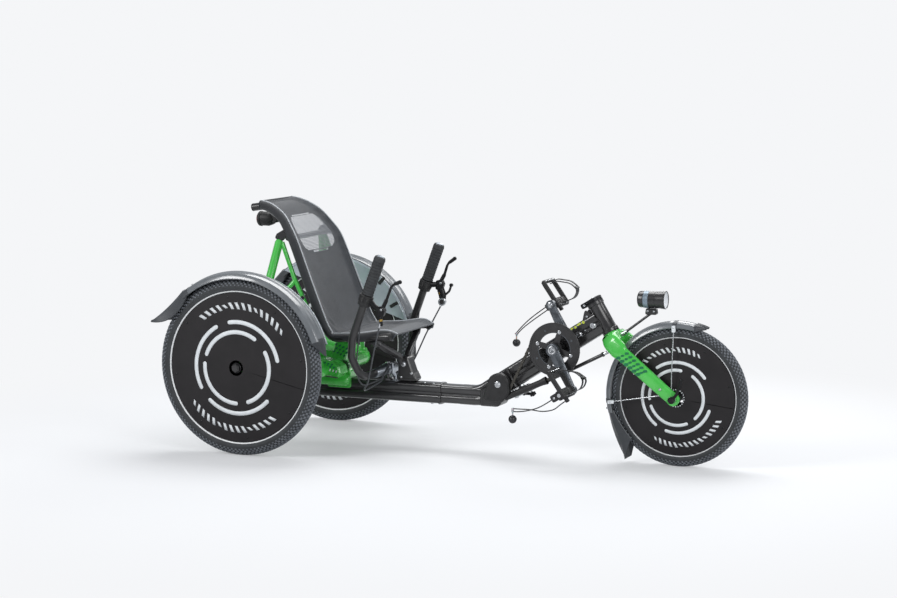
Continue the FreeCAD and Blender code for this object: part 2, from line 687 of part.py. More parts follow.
def make_seat_cloth():
    """Back and base slings, each a thin closed sheet lying just off the rails."""
    lift = size("rail_radius + seat_gap")
    thick = size("cloth_thickness")
    wide = size("seat_half_width")
    narrow = size("headrest_half_width")
    back = [(-42, 689.3, narrow + 4, 90), (2, 678, narrow + 14, 66), (38, 656, narrow + 26, 50),
            (84, 594, wide - 5, 26), (130, 481, wide, 22), (176, 366, wide, 22)]
    base = [(222, 322.5, wide, 92), (300, 328, wide, 93), (372, 333, wide - 10, 90),
            (394, 331, wide - 24, 80)]
    for label, stations in (("seat_back", back), ("seat_base", base)):
        sections = []
        for x, z, half, angle in stations:
            normal = in_plane(angle)
            sections.append((from_rear(x, 0, z) + normal * lift, half, normal * thick))
        name_node(fixed(label, sheet_loft(sections)), label)


def make_seat_cradle():
    """V-shaped tube from the rails down to a clamp on the beam."""
    wide = size("seat_half_width")
    top = 334 - 4 - size("rail_radius")
    points = [from_rear(338, -wide, top), from_rear(362, -30, 262), from_rear(362, 30, 262),
              from_rear(338, wide, top)]
    vee = tube_shape(points, size("cradle_radius"), [45, 45])
    for name, side in SIDES:
        vee = vee.cut(tube_shape(rail_points(side), size("rail_radius + seat_gap")))
    vee = fixed("cradle_vee", vee)
    corners = [(352, BEAM_TOP), (424, BEAM_TOP), (404, 222), (376, 272), (352, 268)]
    outline = [("%.4f" % (REAR_X + x), "%.4f" % z) for x, z in corners]
    plate = padded_plate("cradle_clamp", "XZ_Plane", outline, "40")
    name_node(fuse("seat_cradle", [vee, plate]), "seat_cradle")


def make_rear_lamp():
    """Round rear lamp under the headrest bar, with its bracket."""
    drum = cylinder("lamp_drum", from_rear(-88, 0, 645), FORWARD, "23", "42")
    arm = box("lamp_arm", from_rear(-44, 0, 660.8), "10", "26", "30")
    name_node(fuse("rear_lamp", [drum, arm]), "rear_lamp")


# ---------------------------------------------------------------- mudguards

GUARD_FRONT, GUARD_BACK = 10, 133
FRONT_GUARD_FRONT, FRONT_GUARD_BACK = 70, 199
WIRE_RADIUS = 1.8


def guard_shape(middle, tyre_radius, half_width, start_angle, end_angle):
    """Curved band over a tyre, its edges turned down, swept about the axle."""
    inner = tyre_radius + size("guard_gap")
    wall = size("guard_wall")
    rows = [(inner - 12, -half_width), (inner - 3, -half_width * 0.8), (inner, -half_width * 0.35),
            (inner, half_width * 0.35), (inner - 3, half_width * 0.8), (inner - 12, half_width)]
    outer = [(radius + wall, side) for radius, side in reversed(rows)]
    points = [middle + VECTOR(radius, side, 0) for radius, side in rows + outer]
    face = Part.Face(Part.makePolygon(points + points[:1]))
    face.rotate(middle, SIDEWAYS, -start_angle)
    return face.revolve(middle, SIDEWAYS, -(end_angle - start_angle))


def flap_shape(root, tip, foot, half_width, side_y):
    """Flat flap with a turned-out tip; root, tip and foot lie in the middle plane of the wheel."""
    wall = size("guard_wall")
    sections = []
    for point, widen in ((root, 0), (tip, 3), (foot, 5)):
        middle = point + SIDEWAYS * side_y
        sections.append((middle, half_width + widen, VECTOR(0, 0, wall)))
    return sheet_loft(sections)


def make_rear_guards():
    radius = size("rear_tyre_radius")
    outer = radius + size("guard_gap + guard_wall")
    half = size("rear_guard_half_width")
    for name, side in SIDES:
        middle = VECTOR(REAR_X, side * size("rear_track / 2"), REAR_Z)
        guard = guard_shape(middle, radius, half, GUARD_FRONT, GUARD_BACK)
        edge = VECTOR(REAR_X, 0, REAR_Z) + in_plane(GUARD_BACK - 0.7) * (outer - 3)
        tip_x = REAR_X - size("tail_reach")
        bend = VECTOR(tip_x + 24, 0, REAR_Z + 128)
        tip = VECTOR(tip_x, 0, REAR_Z + 119)
        flap = flap_shape(edge, bend, tip, half - 4, side * size("rear_track / 2"))
        pieces = [fixed("guard_band_" + name, guard), fixed("guard_flap_" + name, flap)]
        name_node(fuse("rear_mudguard_" + name, pieces), "rear_mudguard_" + name)


def make_guard_panels():
    """Flat panels inboard of the rear wheels, from the mudguard down to a chord, on flat bars."""
    outer = size("rear_tyre_radius + guard_gap")
    inner_face = size("rear_track / 2 - rear_guard_half_width - panel_wall") - 0.3
    for name, side in SIDES:
        middle = VECTOR(REAR_X, side * inner_face, REAR_Z)
        first = middle + in_plane(GUARD_FRONT + 6) * outer
        crown = middle + in_plane((GUARD_FRONT + GUARD_BACK) / 2) * outer
        last = middle + in_plane(GUARD_BACK - 6) * outer
        edges = [Part.Arc(first, crown, last).toShape(), Part.LineSegment(last, first).toShape()]
        panel = Part.Face(Part.Wire(edges)).extrude(SIDEWAYS * side * size("panel_wall"))
        name_node(fixed("guard_panel_" + name, panel), "guard_panel_" + name)
    bars = []
    for name, side in SIDES:
        bar_middle = from_rear(24, side * (inner_face - 3.3), REAR_Z + 110)
        turn = FreeCAD.Rotation(SIDEWAYS, 12)
        bar = box("guard_bar_" + name, bar_middle, "24", "6", "176", turn)
        bars.append(bar)
    name_node(group("guard_bars", bars), "guard_bars")


def make_front_guard():
    radius = size("front_tyre_radius")
    half = size("front_guard_half_width")
    guard = guard_shape(FRONT_AXLE, radius, half, FRONT_GUARD_FRONT, FRONT_GUARD_BACK)
    outer = radius + size("guard_gap + guard_wall")
    edge = FRONT_AXLE + in_plane(FRONT_GUARD_BACK - 1) * (outer - 1)
    foot = VECTOR(edge.x + 45, 0, 12)
    bend = (edge + foot) * 0.5 + VECTOR(-4, 0, 0)
    sections = []
    for point, widen in ((edge, 0), (bend, 1), (foot, 3)):
        sections.append((point, half + widen - 2, VECTOR(-size("guard_wall"), 0, 0)))
    pieces = [fixed("front_guard_band", guard), fixed("front_guard_flap", sheet_loft(sections))]
    name_node(fuse("front_mudguard", pieces), "front_mudguard")

    wires = []
    stay_y = size("blade_middle - blade_half_width") - WIRE_RADIUS - 0.2
    inner = radius + size("guard_gap")
    for side in (RIGHT, LEFT):
        hub = FRONT_AXLE + VECTOR(-9, side * stay_y, 12)
        pair = []
        for angle in (93, 187):
            rim = FRONT_AXLE + in_plane(angle) * (inner - 8) + SIDEWAYS * side * (half - 1)
            wire = tube_shape([hub, rim], WIRE_RADIUS).cut(guard)
            pair.append(max(wire.Solids, key=lambda solid: solid.Volume))
        wires.append(pair[0].fuse(pair[1]))
    name_node(fixed("guard_wires", Part.makeCompound(wires)), "guard_wires")


# ---------------------------------------------------------------- fork and its fittings

def axis_point(rise):
    """Point on the steering axis, a distance up from opposite the front axle."""
    return AXIS_FOOT + HEAD_AXIS * rise


LEVER_RISE = 210
RIGHT_EYE_OFFSET = -HEAD_ACROSS * size("linkage_arm_back") - SIDEWAYS * size("linkage_arm_side")


def blade_shape(side):
    """Curved fork blade, flat-sided, from the crown to the axle."""
    start = HEAD_FOOT - HEAD_AXIS * 18 + HEAD_ACROSS * 2
    knee = FRONT_AXLE + VECTOR(-152, 0, 122)
    points = [start, knee, FRONT_AXLE]
    width = size("blade_half_width")
    path, used = rounded_path(points, [70])
    direction = points[1] - points[0]
    direction.normalize()
    normal = direction.cross(SIDEWAYS) * 18
    middle = SIDEWAYS * side * size("blade_middle")
    y_side = SIDEWAYS * width
    corners = [start + normal + y_side, start - normal + y_side,
               start - normal - y_side, start + normal - y_side]
    ring = Part.makePolygon(corners + corners[:1])
    blade = path.makePipeShell([ring], True, False)
    blade.translate(middle)
    return blade


def make_fork():
    crown_middle = HEAD_FOOT - HEAD_AXIS * 20
    span = size("blade_middle + blade_half_width")
    pieces = [cylinder("crown", crown_middle - SIDEWAYS * span, SIDEWAYS, "19", "%g" % (2 * span))]
    pieces.append(cylinder("steerer", HEAD_FOOT - HEAD_AXIS * 20, HEAD_AXIS, "sizes.steerer_radius",
                           "sizes.head_length + 26"))
    pieces.append(cylinder("crown_race", HEAD_FOOT - HEAD_AXIS * 20, HEAD_AXIS, "sizes.head_radius", "19"))
    for name, side in SIDES:
        pieces.append(fixed("blade_" + name, blade_shape(side)))
        end = FRONT_AXLE + SIDEWAYS * (side * size("blade_middle") - size("blade_half_width"))
        pieces.append(cylinder("dropout_" + name, end, SIDEWAYS, "18", "2 * sizes.blade_half_width"))
    eye = axis_point(LEVER_RISE) + RIGHT_EYE_OFFSET
    pieces.append(fixed("steering_lever", tube_shape([axis_point(LEVER_RISE), eye], 6)))
    pieces.append(cylinder("lever_pin", eye + HEAD_AXIS * 5, -HEAD_AXIS, "3", "%g" % (EYE_DROP + 12)))
    to_axle = FRONT_AXLE - crown_middle
    guard_top = size("front_tyre_radius + guard_gap + guard_wall")
    bolt_length = to_axle.Length - guard_top - 0.2
    pieces.append(cylinder("guard_bolt", crown_middle, to_axle, "6", "%.4f" % bolt_length))
    solid = fuse("fork_solid", pieces)
    bore = cylinder("axle_bore", FRONT_AXLE - SIDEWAYS * 100, SIDEWAYS, "sizes.front_pin_radius", "200")
    name_node(cut("fork", solid, bore), "fork")

    cap_start = HEAD_FOOT + HEAD_AXIS * (size("head_length") + 1)
    cap = cylinder("cap_drum", cap_start, HEAD_AXIS, "sizes.head_radius + 1", "15")
    well = cylinder("cap_well", cap_start - HEAD_AXIS, HEAD_AXIS, "sizes.steerer_radius", "6")
    clamp = box("cap_clamp", cap_start + HEAD_AXIS * 8 - HEAD_ACROSS * 24, "16", "26", "14",
                FreeCAD.Rotation(SIDEWAYS, size("head_angle") - 90))
    name_node(cut("steering_cap", fuse("cap_whole", [cap, clamp]), well), "steering_cap")


def make_front_axle():
    """Quick-release axle with its lever on the right."""
    span = size("blade_middle + blade_half_width")
    rod = cylinder("axle_rod", FRONT_AXLE - SIDEWAYS * (span + 1), SIDEWAYS, "sizes.front_pin_radius",
                   "%g" % (2 * span + 2))
    pieces = [rod]
    for name, side in SIDES:
        face = FRONT_AXLE + SIDEWAYS * side * span
        pieces.append(cylinder("axle_cap_" + name, face, SIDEWAYS * side, "10", "10"))
    lever_start = FRONT_AXLE + VECTOR(0, -(span + 8), 0)
    lever_end = FRONT_AXLE + VECTOR(30, -(span + 14), 58)
    pieces.append(fixed("quick_lever", tube_shape([lever_start, lever_end], 4)))
    name_node(fuse("front_axle", pieces), "front_axle")


def make_headlight():
    """Lamp on a short stay from the crown."""
    middle = axis_point(300) + VECTOR(144, 0, 44)
    body = cylinder("lamp_body", middle - FORWARD * 42, FORWARD, "26", "84")
    block = box("lamp_block", middle + VECTOR(-4, 0, -31), "34", "22", "16")
    root = HEAD_FOOT - HEAD_AXIS * 12 + HEAD_ACROSS * 23.4
    stay_points = [root, middle + VECTOR(-30, 0, -38), middle + VECTOR(2, 0, -37)]
    stay = fixed("lamp_stay", tube_shape(stay_points, 3.5))
    name_node(fuse("headlight", [body, block, stay]), "headlight")


# ---------------------------------------------------------------- steering linkage and handlebar

def rod_eye(name, middle, direction, bore, outer="7.5"):
    """Ring of a rod's end about a pin."""
    ring = cylinder(name + "_ring", middle - direction * 4, direction, outer, "8")
    hole = cylinder(name + "_hole", middle - direction * 6, direction, bore, "12")
    return cut(name, ring, hole)


def make_steering_rods():
    front_eye = axis_point(LEVER_RISE) + RIGHT_EYE_OFFSET - HEAD_AXIS * EYE_DROP
    rear_eye = BELL_PIVOT + RIGHT_EYE_OFFSET - HEAD_AXIS * EYE_DROP
    run = front_eye - rear_eye
    run.normalize()
    rod = cylinder("front_rod_bar", rear_eye + run * 7, run, "sizes.rod_radius",
                   "%.4f" % ((front_eye - rear_eye).Length - 14))
    pieces = [rod, rod_eye("front_rod_fore", front_eye, HEAD_AXIS, "3 + sizes.running_gap"),
              rod_eye("front_rod_aft", rear_eye, HEAD_AXIS, "3.8")]
    name_node(fuse("front_steering_rod", pieces), "front_steering_rod")

    arm = size("linkage_left_arm")
    pivot = from_rear(size("bar_pivot_reach"), arm, size("rear_rod_height"))
    name_node(rod_eye("rod_end", pivot, UP, "3 + sizes.running_gap"), "rod_end")
    fore = BELL_PIVOT + SIDEWAYS * arm
    fore_eye = fore + HEAD_AXIS * ((size("rear_rod_height") - fore.z) / HEAD_AXIS.z)
    long_run = fore_eye - pivot
    long_run.normalize()
    bar = cylinder("rear_rod_bar", pivot + long_run * 9, long_run, "sizes.rod_radius",
                   "%.4f" % ((fore_eye - pivot).Length - 16))
    eye = rod_eye("rear_rod_fore", fore_eye, HEAD_AXIS, "5.4", "9")
    name_node(fuse("rear_steering_rod", [bar, eye]), "rear_steering_rod")


def make_bell_crank():
    """Rocker under the boom that passes the steering from the left rod to the right one."""
    arm = size("linkage_left_arm")
    right = BELL_PIVOT + RIGHT_EYE_OFFSET
    left = BELL_PIVOT + SIDEWAYS * arm
    hub = cylinder("bell_hub", BELL_PIVOT - HEAD_AXIS * 6, HEAD_AXIS, "12", "12")
    pieces = [hub, fixed("bell_right", tube_shape([BELL_PIVOT, right], 6)),
              fixed("bell_left", tube_shape([BELL_PIVOT, left], 6)),
              cylinder("bell_right_pin", right + HEAD_AXIS * 5, -HEAD_AXIS, "3", "%g" % (EYE_DROP + 12))]
    drop = (left.z - size("rear_rod_height")) / HEAD_AXIS.z
    pieces.append(cylinder("bell_left_pin", left + HEAD_AXIS * 5, -HEAD_AXIS, "3", "%.4f" % (drop + 11)))
    pin_hole = cylinder("bell_hole", BELL_PIVOT - HEAD_AXIS * 30, HEAD_AXIS, "5 + sizes.running_gap", "60")
    name_node(cut("bell_crank", fuse("bell_whole", pieces), pin_hole), "bell_crank")


def bar_points(side):
    span = size("grip_span") * side
    pivot_x = size("bar_pivot_reach")
    return [
        from_rear(pivot_x + 72, span, 560),
        from_rear(pivot_x - 12, span * 1.01, 336),
        from_rear(pivot_x - 16, span * 1.01, 280),
        from_rear(pivot_x, span * 0.86, size("bar_pivot_height")),
    ]


def make_handlebar():
    right = bar_points(RIGHT)
    left = bar_points(LEFT)
    path = right + list(reversed(left))
    bar = fixed("bar_tube", tube_shape(path, size("bar_radius")))
    name_node(bar, "handlebar")

    pivot = from_rear(size("bar_pivot_reach"), 0, size("bar_pivot_height"))
    sleeve = cylinder("stem_sleeve", pivot - SIDEWAYS * 62, SIDEWAYS, "15.5", "124")
    boss = cylinder("stem_boss", VECTOR(pivot.x, 0, BEAM_TOP + 6.3), UP, "17",
                    "%g" % (pivot.z - BEAM_TOP - 6.3))
    arm_y = size("linkage_left_arm")
    arm_top = BEAM_TOP + 12
    arm = box("stem_arm", VECTOR(pivot.x, (arm_y + 7) / 2, arm_top), "16", "%g" % (arm_y + 7), "10")
    rod_z = size("rear_rod_height")
    leg = box("stem_leg", VECTOR(pivot.x, arm_y, (arm_top + rod_z + 10) / 2), "16", "14",
              "%g" % (arm_top + 5 - rod_z - 7))
    pin = cylinder("stem_pin", VECTOR(pivot.x, arm_y, rod_z + 10), -UP, "3", "17")
    whole = fuse("stem_whole", [sleeve, boss, arm, leg, pin])
    bar_hole = cylinder("stem_bar_hole", pivot - SIDEWAYS * 80, SIDEWAYS, "sizes.bar_radius", "160")
    pin_hole = cylinder("stem_pin_hole", VECTOR(pivot.x, 0, BEAM_TOP), UP, "6 + sizes.running_gap",
                        "%g" % (pivot.z - BEAM_TOP - size("bar_radius")))
    name_node(cut("handlebar_stem", cut("stem_bored", whole, bar_hole), pin_hole), "handlebar_stem")


def make_controls():
    """Grips, shifter collar, brake levers and the cables that the bar carries."""
    grips = []
    for name, side in SIDES:
        points = bar_points(side)
        run = points[1] - points[0]
        run.normalize()
        top = points[0] - run * 4
        outer = cylinder("grip_outer_" + name, top, run, "sizes.grip_radius", "124")
        hole = cylinder("grip_hole_" + name, points[0], run, "sizes.bar_radius + 0.1", "140")
        grips.append(cut("grip_" + name, outer, hole))
    name_node(group("handgrips", grips), "handgrips")

    levers = []
    for name, side in SIDES:
        points = bar_points(side)
        run = points[1] - points[0]
        run.normalize()
        collar_top = points[0] + run * 128
        collar = cylinder("collar_" + name, collar_top, run, "17", "16")
        hole = cylinder("collar_hole_" + name, collar_top - run, run, "sizes.bar_radius + 0.1", "18")
        middle = collar_top + run * 8
        knuckle = middle + VECTOR(36, 0, 8)
        finger = [knuckle, knuckle + VECTOR(16, side * 3, 24), knuckle + VECTOR(28, side * 4, 62),
                  knuckle + VECTOR(50, side * 4, 88)]
        arm = fixed("lever_arm_" + name, tube_shape([middle + VECTOR(17, 0, 2), knuckle], 6))
        blade = fixed("lever_blade_" + name, tube_shape(finger, 4))
        ring = cut("lever_ring_" + name, collar, hole)
        barrel = fixed("lever_barrel_" + name, tube_shape([knuckle, knuckle + VECTOR(8, 0, -44)], 6))
        levers.append(fuse("lever_" + name, [ring, arm, blade, barrel]))
    name_node(group("brake_levers", levers), "brake_levers")

    cables = []
    pivot_x = size("bar_pivot_reach")
    for name, side in SIDES:
        points = bar_points(side)
        run = points[1] - points[0]
        run.normalize()
        start = points[0] + run * 136 + VECTOR(44, 0, -38)
        route = [start, from_rear(pivot_x + 32, side * 206, 348), from_rear(pivot_x + 20, side * 186, 262),
                 from_rear(pivot_x + 22, side * 128, 206), from_rear(pivot_x + 24, side * 50, 218),
                 from_rear(pivot_x + 10, side * 16, 238.4)]
        cables.append(tube_shape(route, 2.6))
    name_node(fixed("control_cables", Part.makeCompound(cables)), "control_cables")


# ---------------------------------------------------------------- cranks, chain and pedals

def crank_direction(side):
    angle = size("crank_angle") + (180 if side == LEFT else 0)
    return in_plane(angle)


def pedal_place(side):
    """Middle of the pedal axle at the crank arm's outer face."""
    return CRANK + crank_direction(side) * size("crank_length") + SIDEWAYS * side * size("crank_face")


def crank_arm(name, side, inner, outer):
    """Tapered arm between two round ends; inner and outer are distances from the middle plane."""
    direction = crank_direction(side)
    tilt = -math.degrees(math.atan2(direction.z, direction.x))
    thickness = "%g" % (outer - inner)
    length = size("crank_length")
    corners = [("0", "-15"), ("sizes.crank_length", "-11"), ("sizes.crank_length", "11"), ("0", "15")]
    body = padded_plate(name + "_web", "XZ_Plane", corners, thickness)
    middle = CRANK + SIDEWAYS * side * (inner + outer) / 2
    body.Placement = FreeCAD.Placement(middle, FreeCAD.Rotation(SIDEWAYS, tilt))
    face = CRANK + SIDEWAYS * side * inner
    big = cylinder(name + "_boss", face, SIDEWAYS * side, "18", thickness)
    small = cylinder(name + "_eye", face + direction * length, SIDEWAYS * side, "13", thickness)
    return [body, big, small]


def make_cranks():
    outer = size("crank_face")
    inner = outer - size("crank_thickness")
    for name, side in SIDES:
        pieces = crank_arm("crank_" + name, side, inner, outer)
        pin_middle = pedal_place(side) - SIDEWAYS * side * 30
        pin_hole = cylinder("pedal_hole_" + name, pin_middle, SIDEWAYS * side,
                            "sizes.pedal_pin_radius + sizes.running_gap", "60")
        if side == LEFT:
            spindle_end = CRANK - SIDEWAYS * (inner + 2)
            pieces.append(cylinder("spindle", spindle_end, SIDEWAYS, "sizes.spindle_radius",
                                   "%g" % (2 * inner + 4)))
            whole = fuse("crank_whole_left", pieces)
            name_node(cut("crank_left", whole, pin_hole), "crank_left")
        else:
            whole = fuse("crank_whole_right", pieces)
            socket = cylinder("spindle_socket", CRANK - SIDEWAYS * (inner - 1), -SIDEWAYS,
                              "sizes.spindle_radius", "3")
            name_node(cut("crank_right", cut("crank_drilled", whole, pin_hole), socket), "crank_right")


def make_chainring():
    """Chainring with its guard, four arms and a hub on the crank."""
    line = size("chain_line")
    start = CRANK - SIDEWAYS * (line + 7)
    disc = cylinder("guard_disc", start, SIDEWAYS, "sizes.chainring_radius", "3")
    ring = cylinder("tooth_disc", start + SIDEWAYS * 3, SIDEWAYS, "%g" % (CHAIN_RADIUS - 4.6), "6")
    hole = cylinder("ring_hole", start - SIDEWAYS, SIDEWAYS, "sizes.chainring_bore_radius", "12")
    band = cut("ring_band", fuse("ring_discs", [disc, ring]), hole)
    pieces = [band, cylinder("ring_hub", start, SIDEWAYS, "22", "9")]
    for index in range(4):
        angle = size("crank_angle") + 45 + 90 * index
        direction = in_plane(angle)
        middle = start + direction * 34 + SIDEWAYS * 3
        turn = FreeCAD.Rotation(SIDEWAYS, -angle)
        pieces.append(box("ring_arm_%d" % index, middle, "36", "6", "15", turn))
    axle_hole = cylinder("ring_axle_hole", start - SIDEWAYS, SIDEWAYS, "sizes.spindle_radius", "12")
    name_node(cut("chainring", fuse("ring_whole", pieces), axle_hole), "chainring")


def belt_points(start, middle, radius, end, sense):
    """Corners of a belt from start, round a wheel and off to end; sense 1 is from +X towards +Z."""
    def tangent_angle(point, lead):
        run = point - middle
        distance = math.hypot(run.x, run.z)
        return math.atan2(run.z, run.x) + lead * math.acos(radius / distance)
    first = tangent_angle(start, sense)
    last = tangent_angle(end, -sense)
    wrap = (sense * (last - first)) % (2 * math.pi)
    count = math.ceil(wrap / math.radians(80))
    step = wrap / count
    corners = []
    for index in range(count):
        angle = first + sense * step * (index + 0.5)
        corners.append(middle + in_plane(math.degrees(angle)) * (radius / math.cos(step / 2)))
    return [start] + corners + [end], [radius] * count


def make_chain():
    """Upper and lower runs about the chainring, and the loop from the beam to the rear sprocket."""
    line = -size("chain_line")
    wheel = CRANK + SIDEWAYS * line
    start = CASE_MIDDLE + VECTOR(CASE_RADIUS - 6, 0, -12)
    points, radii = belt_points(start, wheel, CHAIN_RADIUS, TUBE_BACK + TUBE_RUN * 4, -1)
    front = fixed("chain_front", band_shape(points, 8, 3, radii))
    sprocket = VECTOR(REAR_X, 0, REAR_Z)
    mouth = from_rear(size("beam_start") + 12, 0, size("beam_height"))
    points, radii = belt_points(mouth + UP * 16, sprocket, SPROCKET_RADIUS + 4.6, mouth - UP * 12, 1)
    rear = fixed("chain_rear", band_shape(points, 8, 3, radii))
    name_node(group("chain", [front, rear]), "chain")

    outer = cylinder("chain_tube_outer", TUBE_BACK, TUBE_RUN, "9", "134")
    flare = DOCUMENT.addObject("Part::Cone", "chain_tube_flare")
    flare.Radius1 = 9
    flare.Radius2 = 11.5
    flare.Height = 18
    flare.Placement = FreeCAD.Placement(TUBE_BACK + TUBE_RUN * 118, along(TUBE_RUN))
    bore = cylinder("chain_tube_bore", TUBE_BACK - TUBE_RUN * 6, TUBE_RUN, "6.8", "170")
    name_node(cut("chain_tube", fuse("chain_tube_whole", [outer, flare]), bore), "chain_tube")


def pedal_turn():
    """Turn that stands a box's height along the foot, its length facing forwards."""
    return FreeCAD.Rotation(SIDEWAYS, -(90 - size("pedal_lean")))


def pedal_point(side, forward, sideways, rise):
    """Point in the pedal's own directions from the end of its axle."""
    turn = pedal_turn()
    return pedal_place(side) + turn.multVec(VECTOR(forward, 0, rise)) + SIDEWAYS * side * sideways


PEDAL_INSIDE = 10
CLIP_BACK = -28
CLIP_RISE = 2


def clip_place(side):
    """The pull cord's clip, outwards from the end of the pedal axle's crank."""
    return PEDAL_INSIDE + (14 if side == LEFT else size("pedal_width") - 14)


def make_pedal(name, side):
    """Pedal: axle, body, upright foot plate with a window, and the clip of its pull cord."""
    turn = pedal_turn()
    width = size("pedal_width")
    inside = PEDAL_INSIDE
    middle_y = inside + width / 2
    axle_start = pedal_place(side) - SIDEWAYS * side * (size("crank_thickness") - 2)
    axle = cylinder("pedal_axle_" + name, axle_start, SIDEWAYS * side, "sizes.pedal_pin_radius",
                    "sizes.crank_thickness - 2 + 10 + sizes.pedal_width")
    pieces = [axle]
    body_middle = pedal_point(side, 0, middle_y, 0)
    pieces.append(box("pedal_body_" + name, body_middle, "22", "sizes.pedal_width - 16", "26", turn))
    plate_rise = size("pedal_length") / 2 - 16
    for label, sideways in (("inner", inside + 5), ("outer", inside + width - 5)):
        point = pedal_point(side, 8, sideways, plate_rise)
        pieces.append(box("pedal_bar_%s_%s" % (label, name), point, "12", "10", "sizes.pedal_length", turn))
    for label, rise in (("low", plate_rise - size("pedal_length") / 2 + 5),
                        ("high", plate_rise + size("pedal_length") / 2 - 5)):
        point = pedal_point(side, 8, middle_y, rise)
        pieces.append(box("pedal_cross_%s_%s" % (label, name), point, "12", "sizes.pedal_width", "10", turn))
    clip_y = clip_place(side)
    clip_middle = pedal_point(side, CLIP_BACK + 10, clip_y, CLIP_RISE)
    pieces.append(box("pedal_clip_" + name, clip_middle, "20", "18", "20", turn))
    pieces.append(box("pedal_lug_" + name, pedal_point(side, 7, clip_y, -20), "8", "12", "12", turn))
    name_node(fuse("pedal_" + name, pieces), "pedal_" + name)

    strap_y = inside + width / 2
    strap_points = []
    for forward, rise in ((14.5, plate_rise + 36), (44, plate_rise + 42), (74, plate_rise + 14),
                          (62, plate_rise - 22), (14.5, plate_rise - 30)):
        strap_points.append(pedal_point(side, forward, strap_y, rise))
    strap = band_shape(strap_points, 3, 16)
    name_node(fixed("foot_strap_" + name, strap), "foot_strap_" + name)


# Pull cords: two strands run from the pedal to a small ferrule with a ball below it. For each side:
# the ferrule's face from the clip's back face (forward, sideways, up), the way the strands enter it,
# the spacing there, and the strands: start in the pedal's directions, first run, points between.
CORDS = {
    "right": ((-112, 0, -36), 180, 8, [
        ((31, 2, -23), 18, [(4, 2.6, -29), (-30, 3.4, -36), (-64, 2.5, -31.5)]),
        ((0, -1, 0), 34, [(-56, -3.2, -31)]),
    ]),
    "left": ((-90, 0, -76), 231.3, 4.4, [
        ((0, -2, 4), 50, []),
        ((0, 2, -5), 46, []),
    ]),
}
LAST_RUN = 18


def strand_points(side, clip_y, strand, face, angle, offset):
    """Corners of one strand, from the pedal to the ferrule's face."""
    start_offset, first_run, between = strand
    origin = pedal_point(side, CLIP_BACK, clip_y, CLIP_RISE)
    forward, sideways, rise = start_offset
    start = pedal_point(side, CLIP_BACK + forward, clip_y + side * sideways, CLIP_RISE + rise)
    back = pedal_turn().multVec(VECTOR(-1, 0, 0))
    last = origin + VECTOR(*face) + in_plane(angle - 90) * offset
    points = [start, start + back * first_run]
    points += [origin + VECTOR(*point) for point in between]
    return points + [last - in_plane(angle) * LAST_RUN, last]


def make_pull_cord(name, side):
    face, angle, spacing, strands = CORDS[name]
    clip_y = clip_place(side)
    tubes = []
    for strand, offset in zip(strands, (spacing / 2, -spacing / 2)):
        route = strand_points(side, clip_y, strand, face, angle, offset)
        path, radii = rounded_path(route)
        tube = tube_shape(route, size("cord_radius"))
        expected = math.pi * size("cord_radius") ** 2 * path.Length
        print("pull_cord_%s strand length %.1f, volume share %.4f, radii %s" % (
            name, path.Length, tube.Volume / expected, " ".join("%.1f" % radius for radius in radii)))
        tubes.append(tube)
    name_node(fixed("pull_cord_" + name, Part.makeCompound(tubes)), "pull_cord_" + name)
    origin = pedal_point(side, CLIP_BACK, clip_y, CLIP_RISE) + VECTOR(*face)
    ferrule_middle = origin + in_plane(angle) * 3
    turn = FreeCAD.Rotation(SIDEWAYS, -angle)
    ferrule = box("ferrule_" + name, ferrule_middle, "6", "7", "%g" % (spacing + 5), turn)
    stem = cylinder("stem_" + name, ferrule_middle, -UP, "1.8", "16")
    weight = ball("weight_" + name, ferrule_middle - UP * (14 + size("ball_radius")), "sizes.ball_radius")
    name_node(fuse("pull_ball_" + name, [ferrule, stem, weight]), "pull_ball_" + name)


def make_pedals():
    for name, side in SIDES:
        make_pedal(name, side)
        make_pull_cord(name, side)


# ---------------------------------------------------------------- build and write

def check_document():
    """Stop if any object failed, or a node is empty or not valid."""
    DOCUMENT.recompute()
    for thing in DOCUMENT.Objects:
        if "Invalid" in thing.State or "Error" in thing.State:
            raise RuntimeError("failed: " + thing.Label)
    for node in NODES:
        if node.Shape.isNull() or not node.Shape.isValid():
            raise RuntimeError("bad shape: " + node.Label)


def write_parts():
    os.makedirs("parts", exist_ok=True)
    for node in NODES:
        node.Shape.exportStep("parts/%s.step" % node.Label)
        limits = node.Shape.BoundBox
        print("%-22s solids %d  x %.0f..%.0f  y %.0f..%.0f  z %.0f..%.0f" % (
            node.Label, len(node.Shape.Solids), limits.XMin, limits.XMax, limits.YMin, limits.YMax,
            limits.ZMin, limits.ZMax))


make_wheels()
make_beam()
make_elbow()
make_idler_case()
make_boom()
make_head_tube()
make_rear_yoke()
make_rear_axle()
make_seat_stays()
make_seat_frame()
make_seat_cloth()
make_seat_cradle()
make_rear_lamp()
make_rear_guards()
make_guard_panels()
make_front_guard()
make_fork()
make_front_axle()
make_headlight()
make_steering_rods()
make_bell_crank()
make_handlebar()
make_controls()
make_cranks()
make_chainring()
make_chain()
make_pedals()
check_document()
write_parts()
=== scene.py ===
"""Recumbent delta trike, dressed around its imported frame.

Two covered rear wheels, one steered front wheel, a low sliding beam, a sling seat,
under-seat steering and a crank on the sloping boom. Metres, +X forwards, +Y left, +Z up.
"""
import math

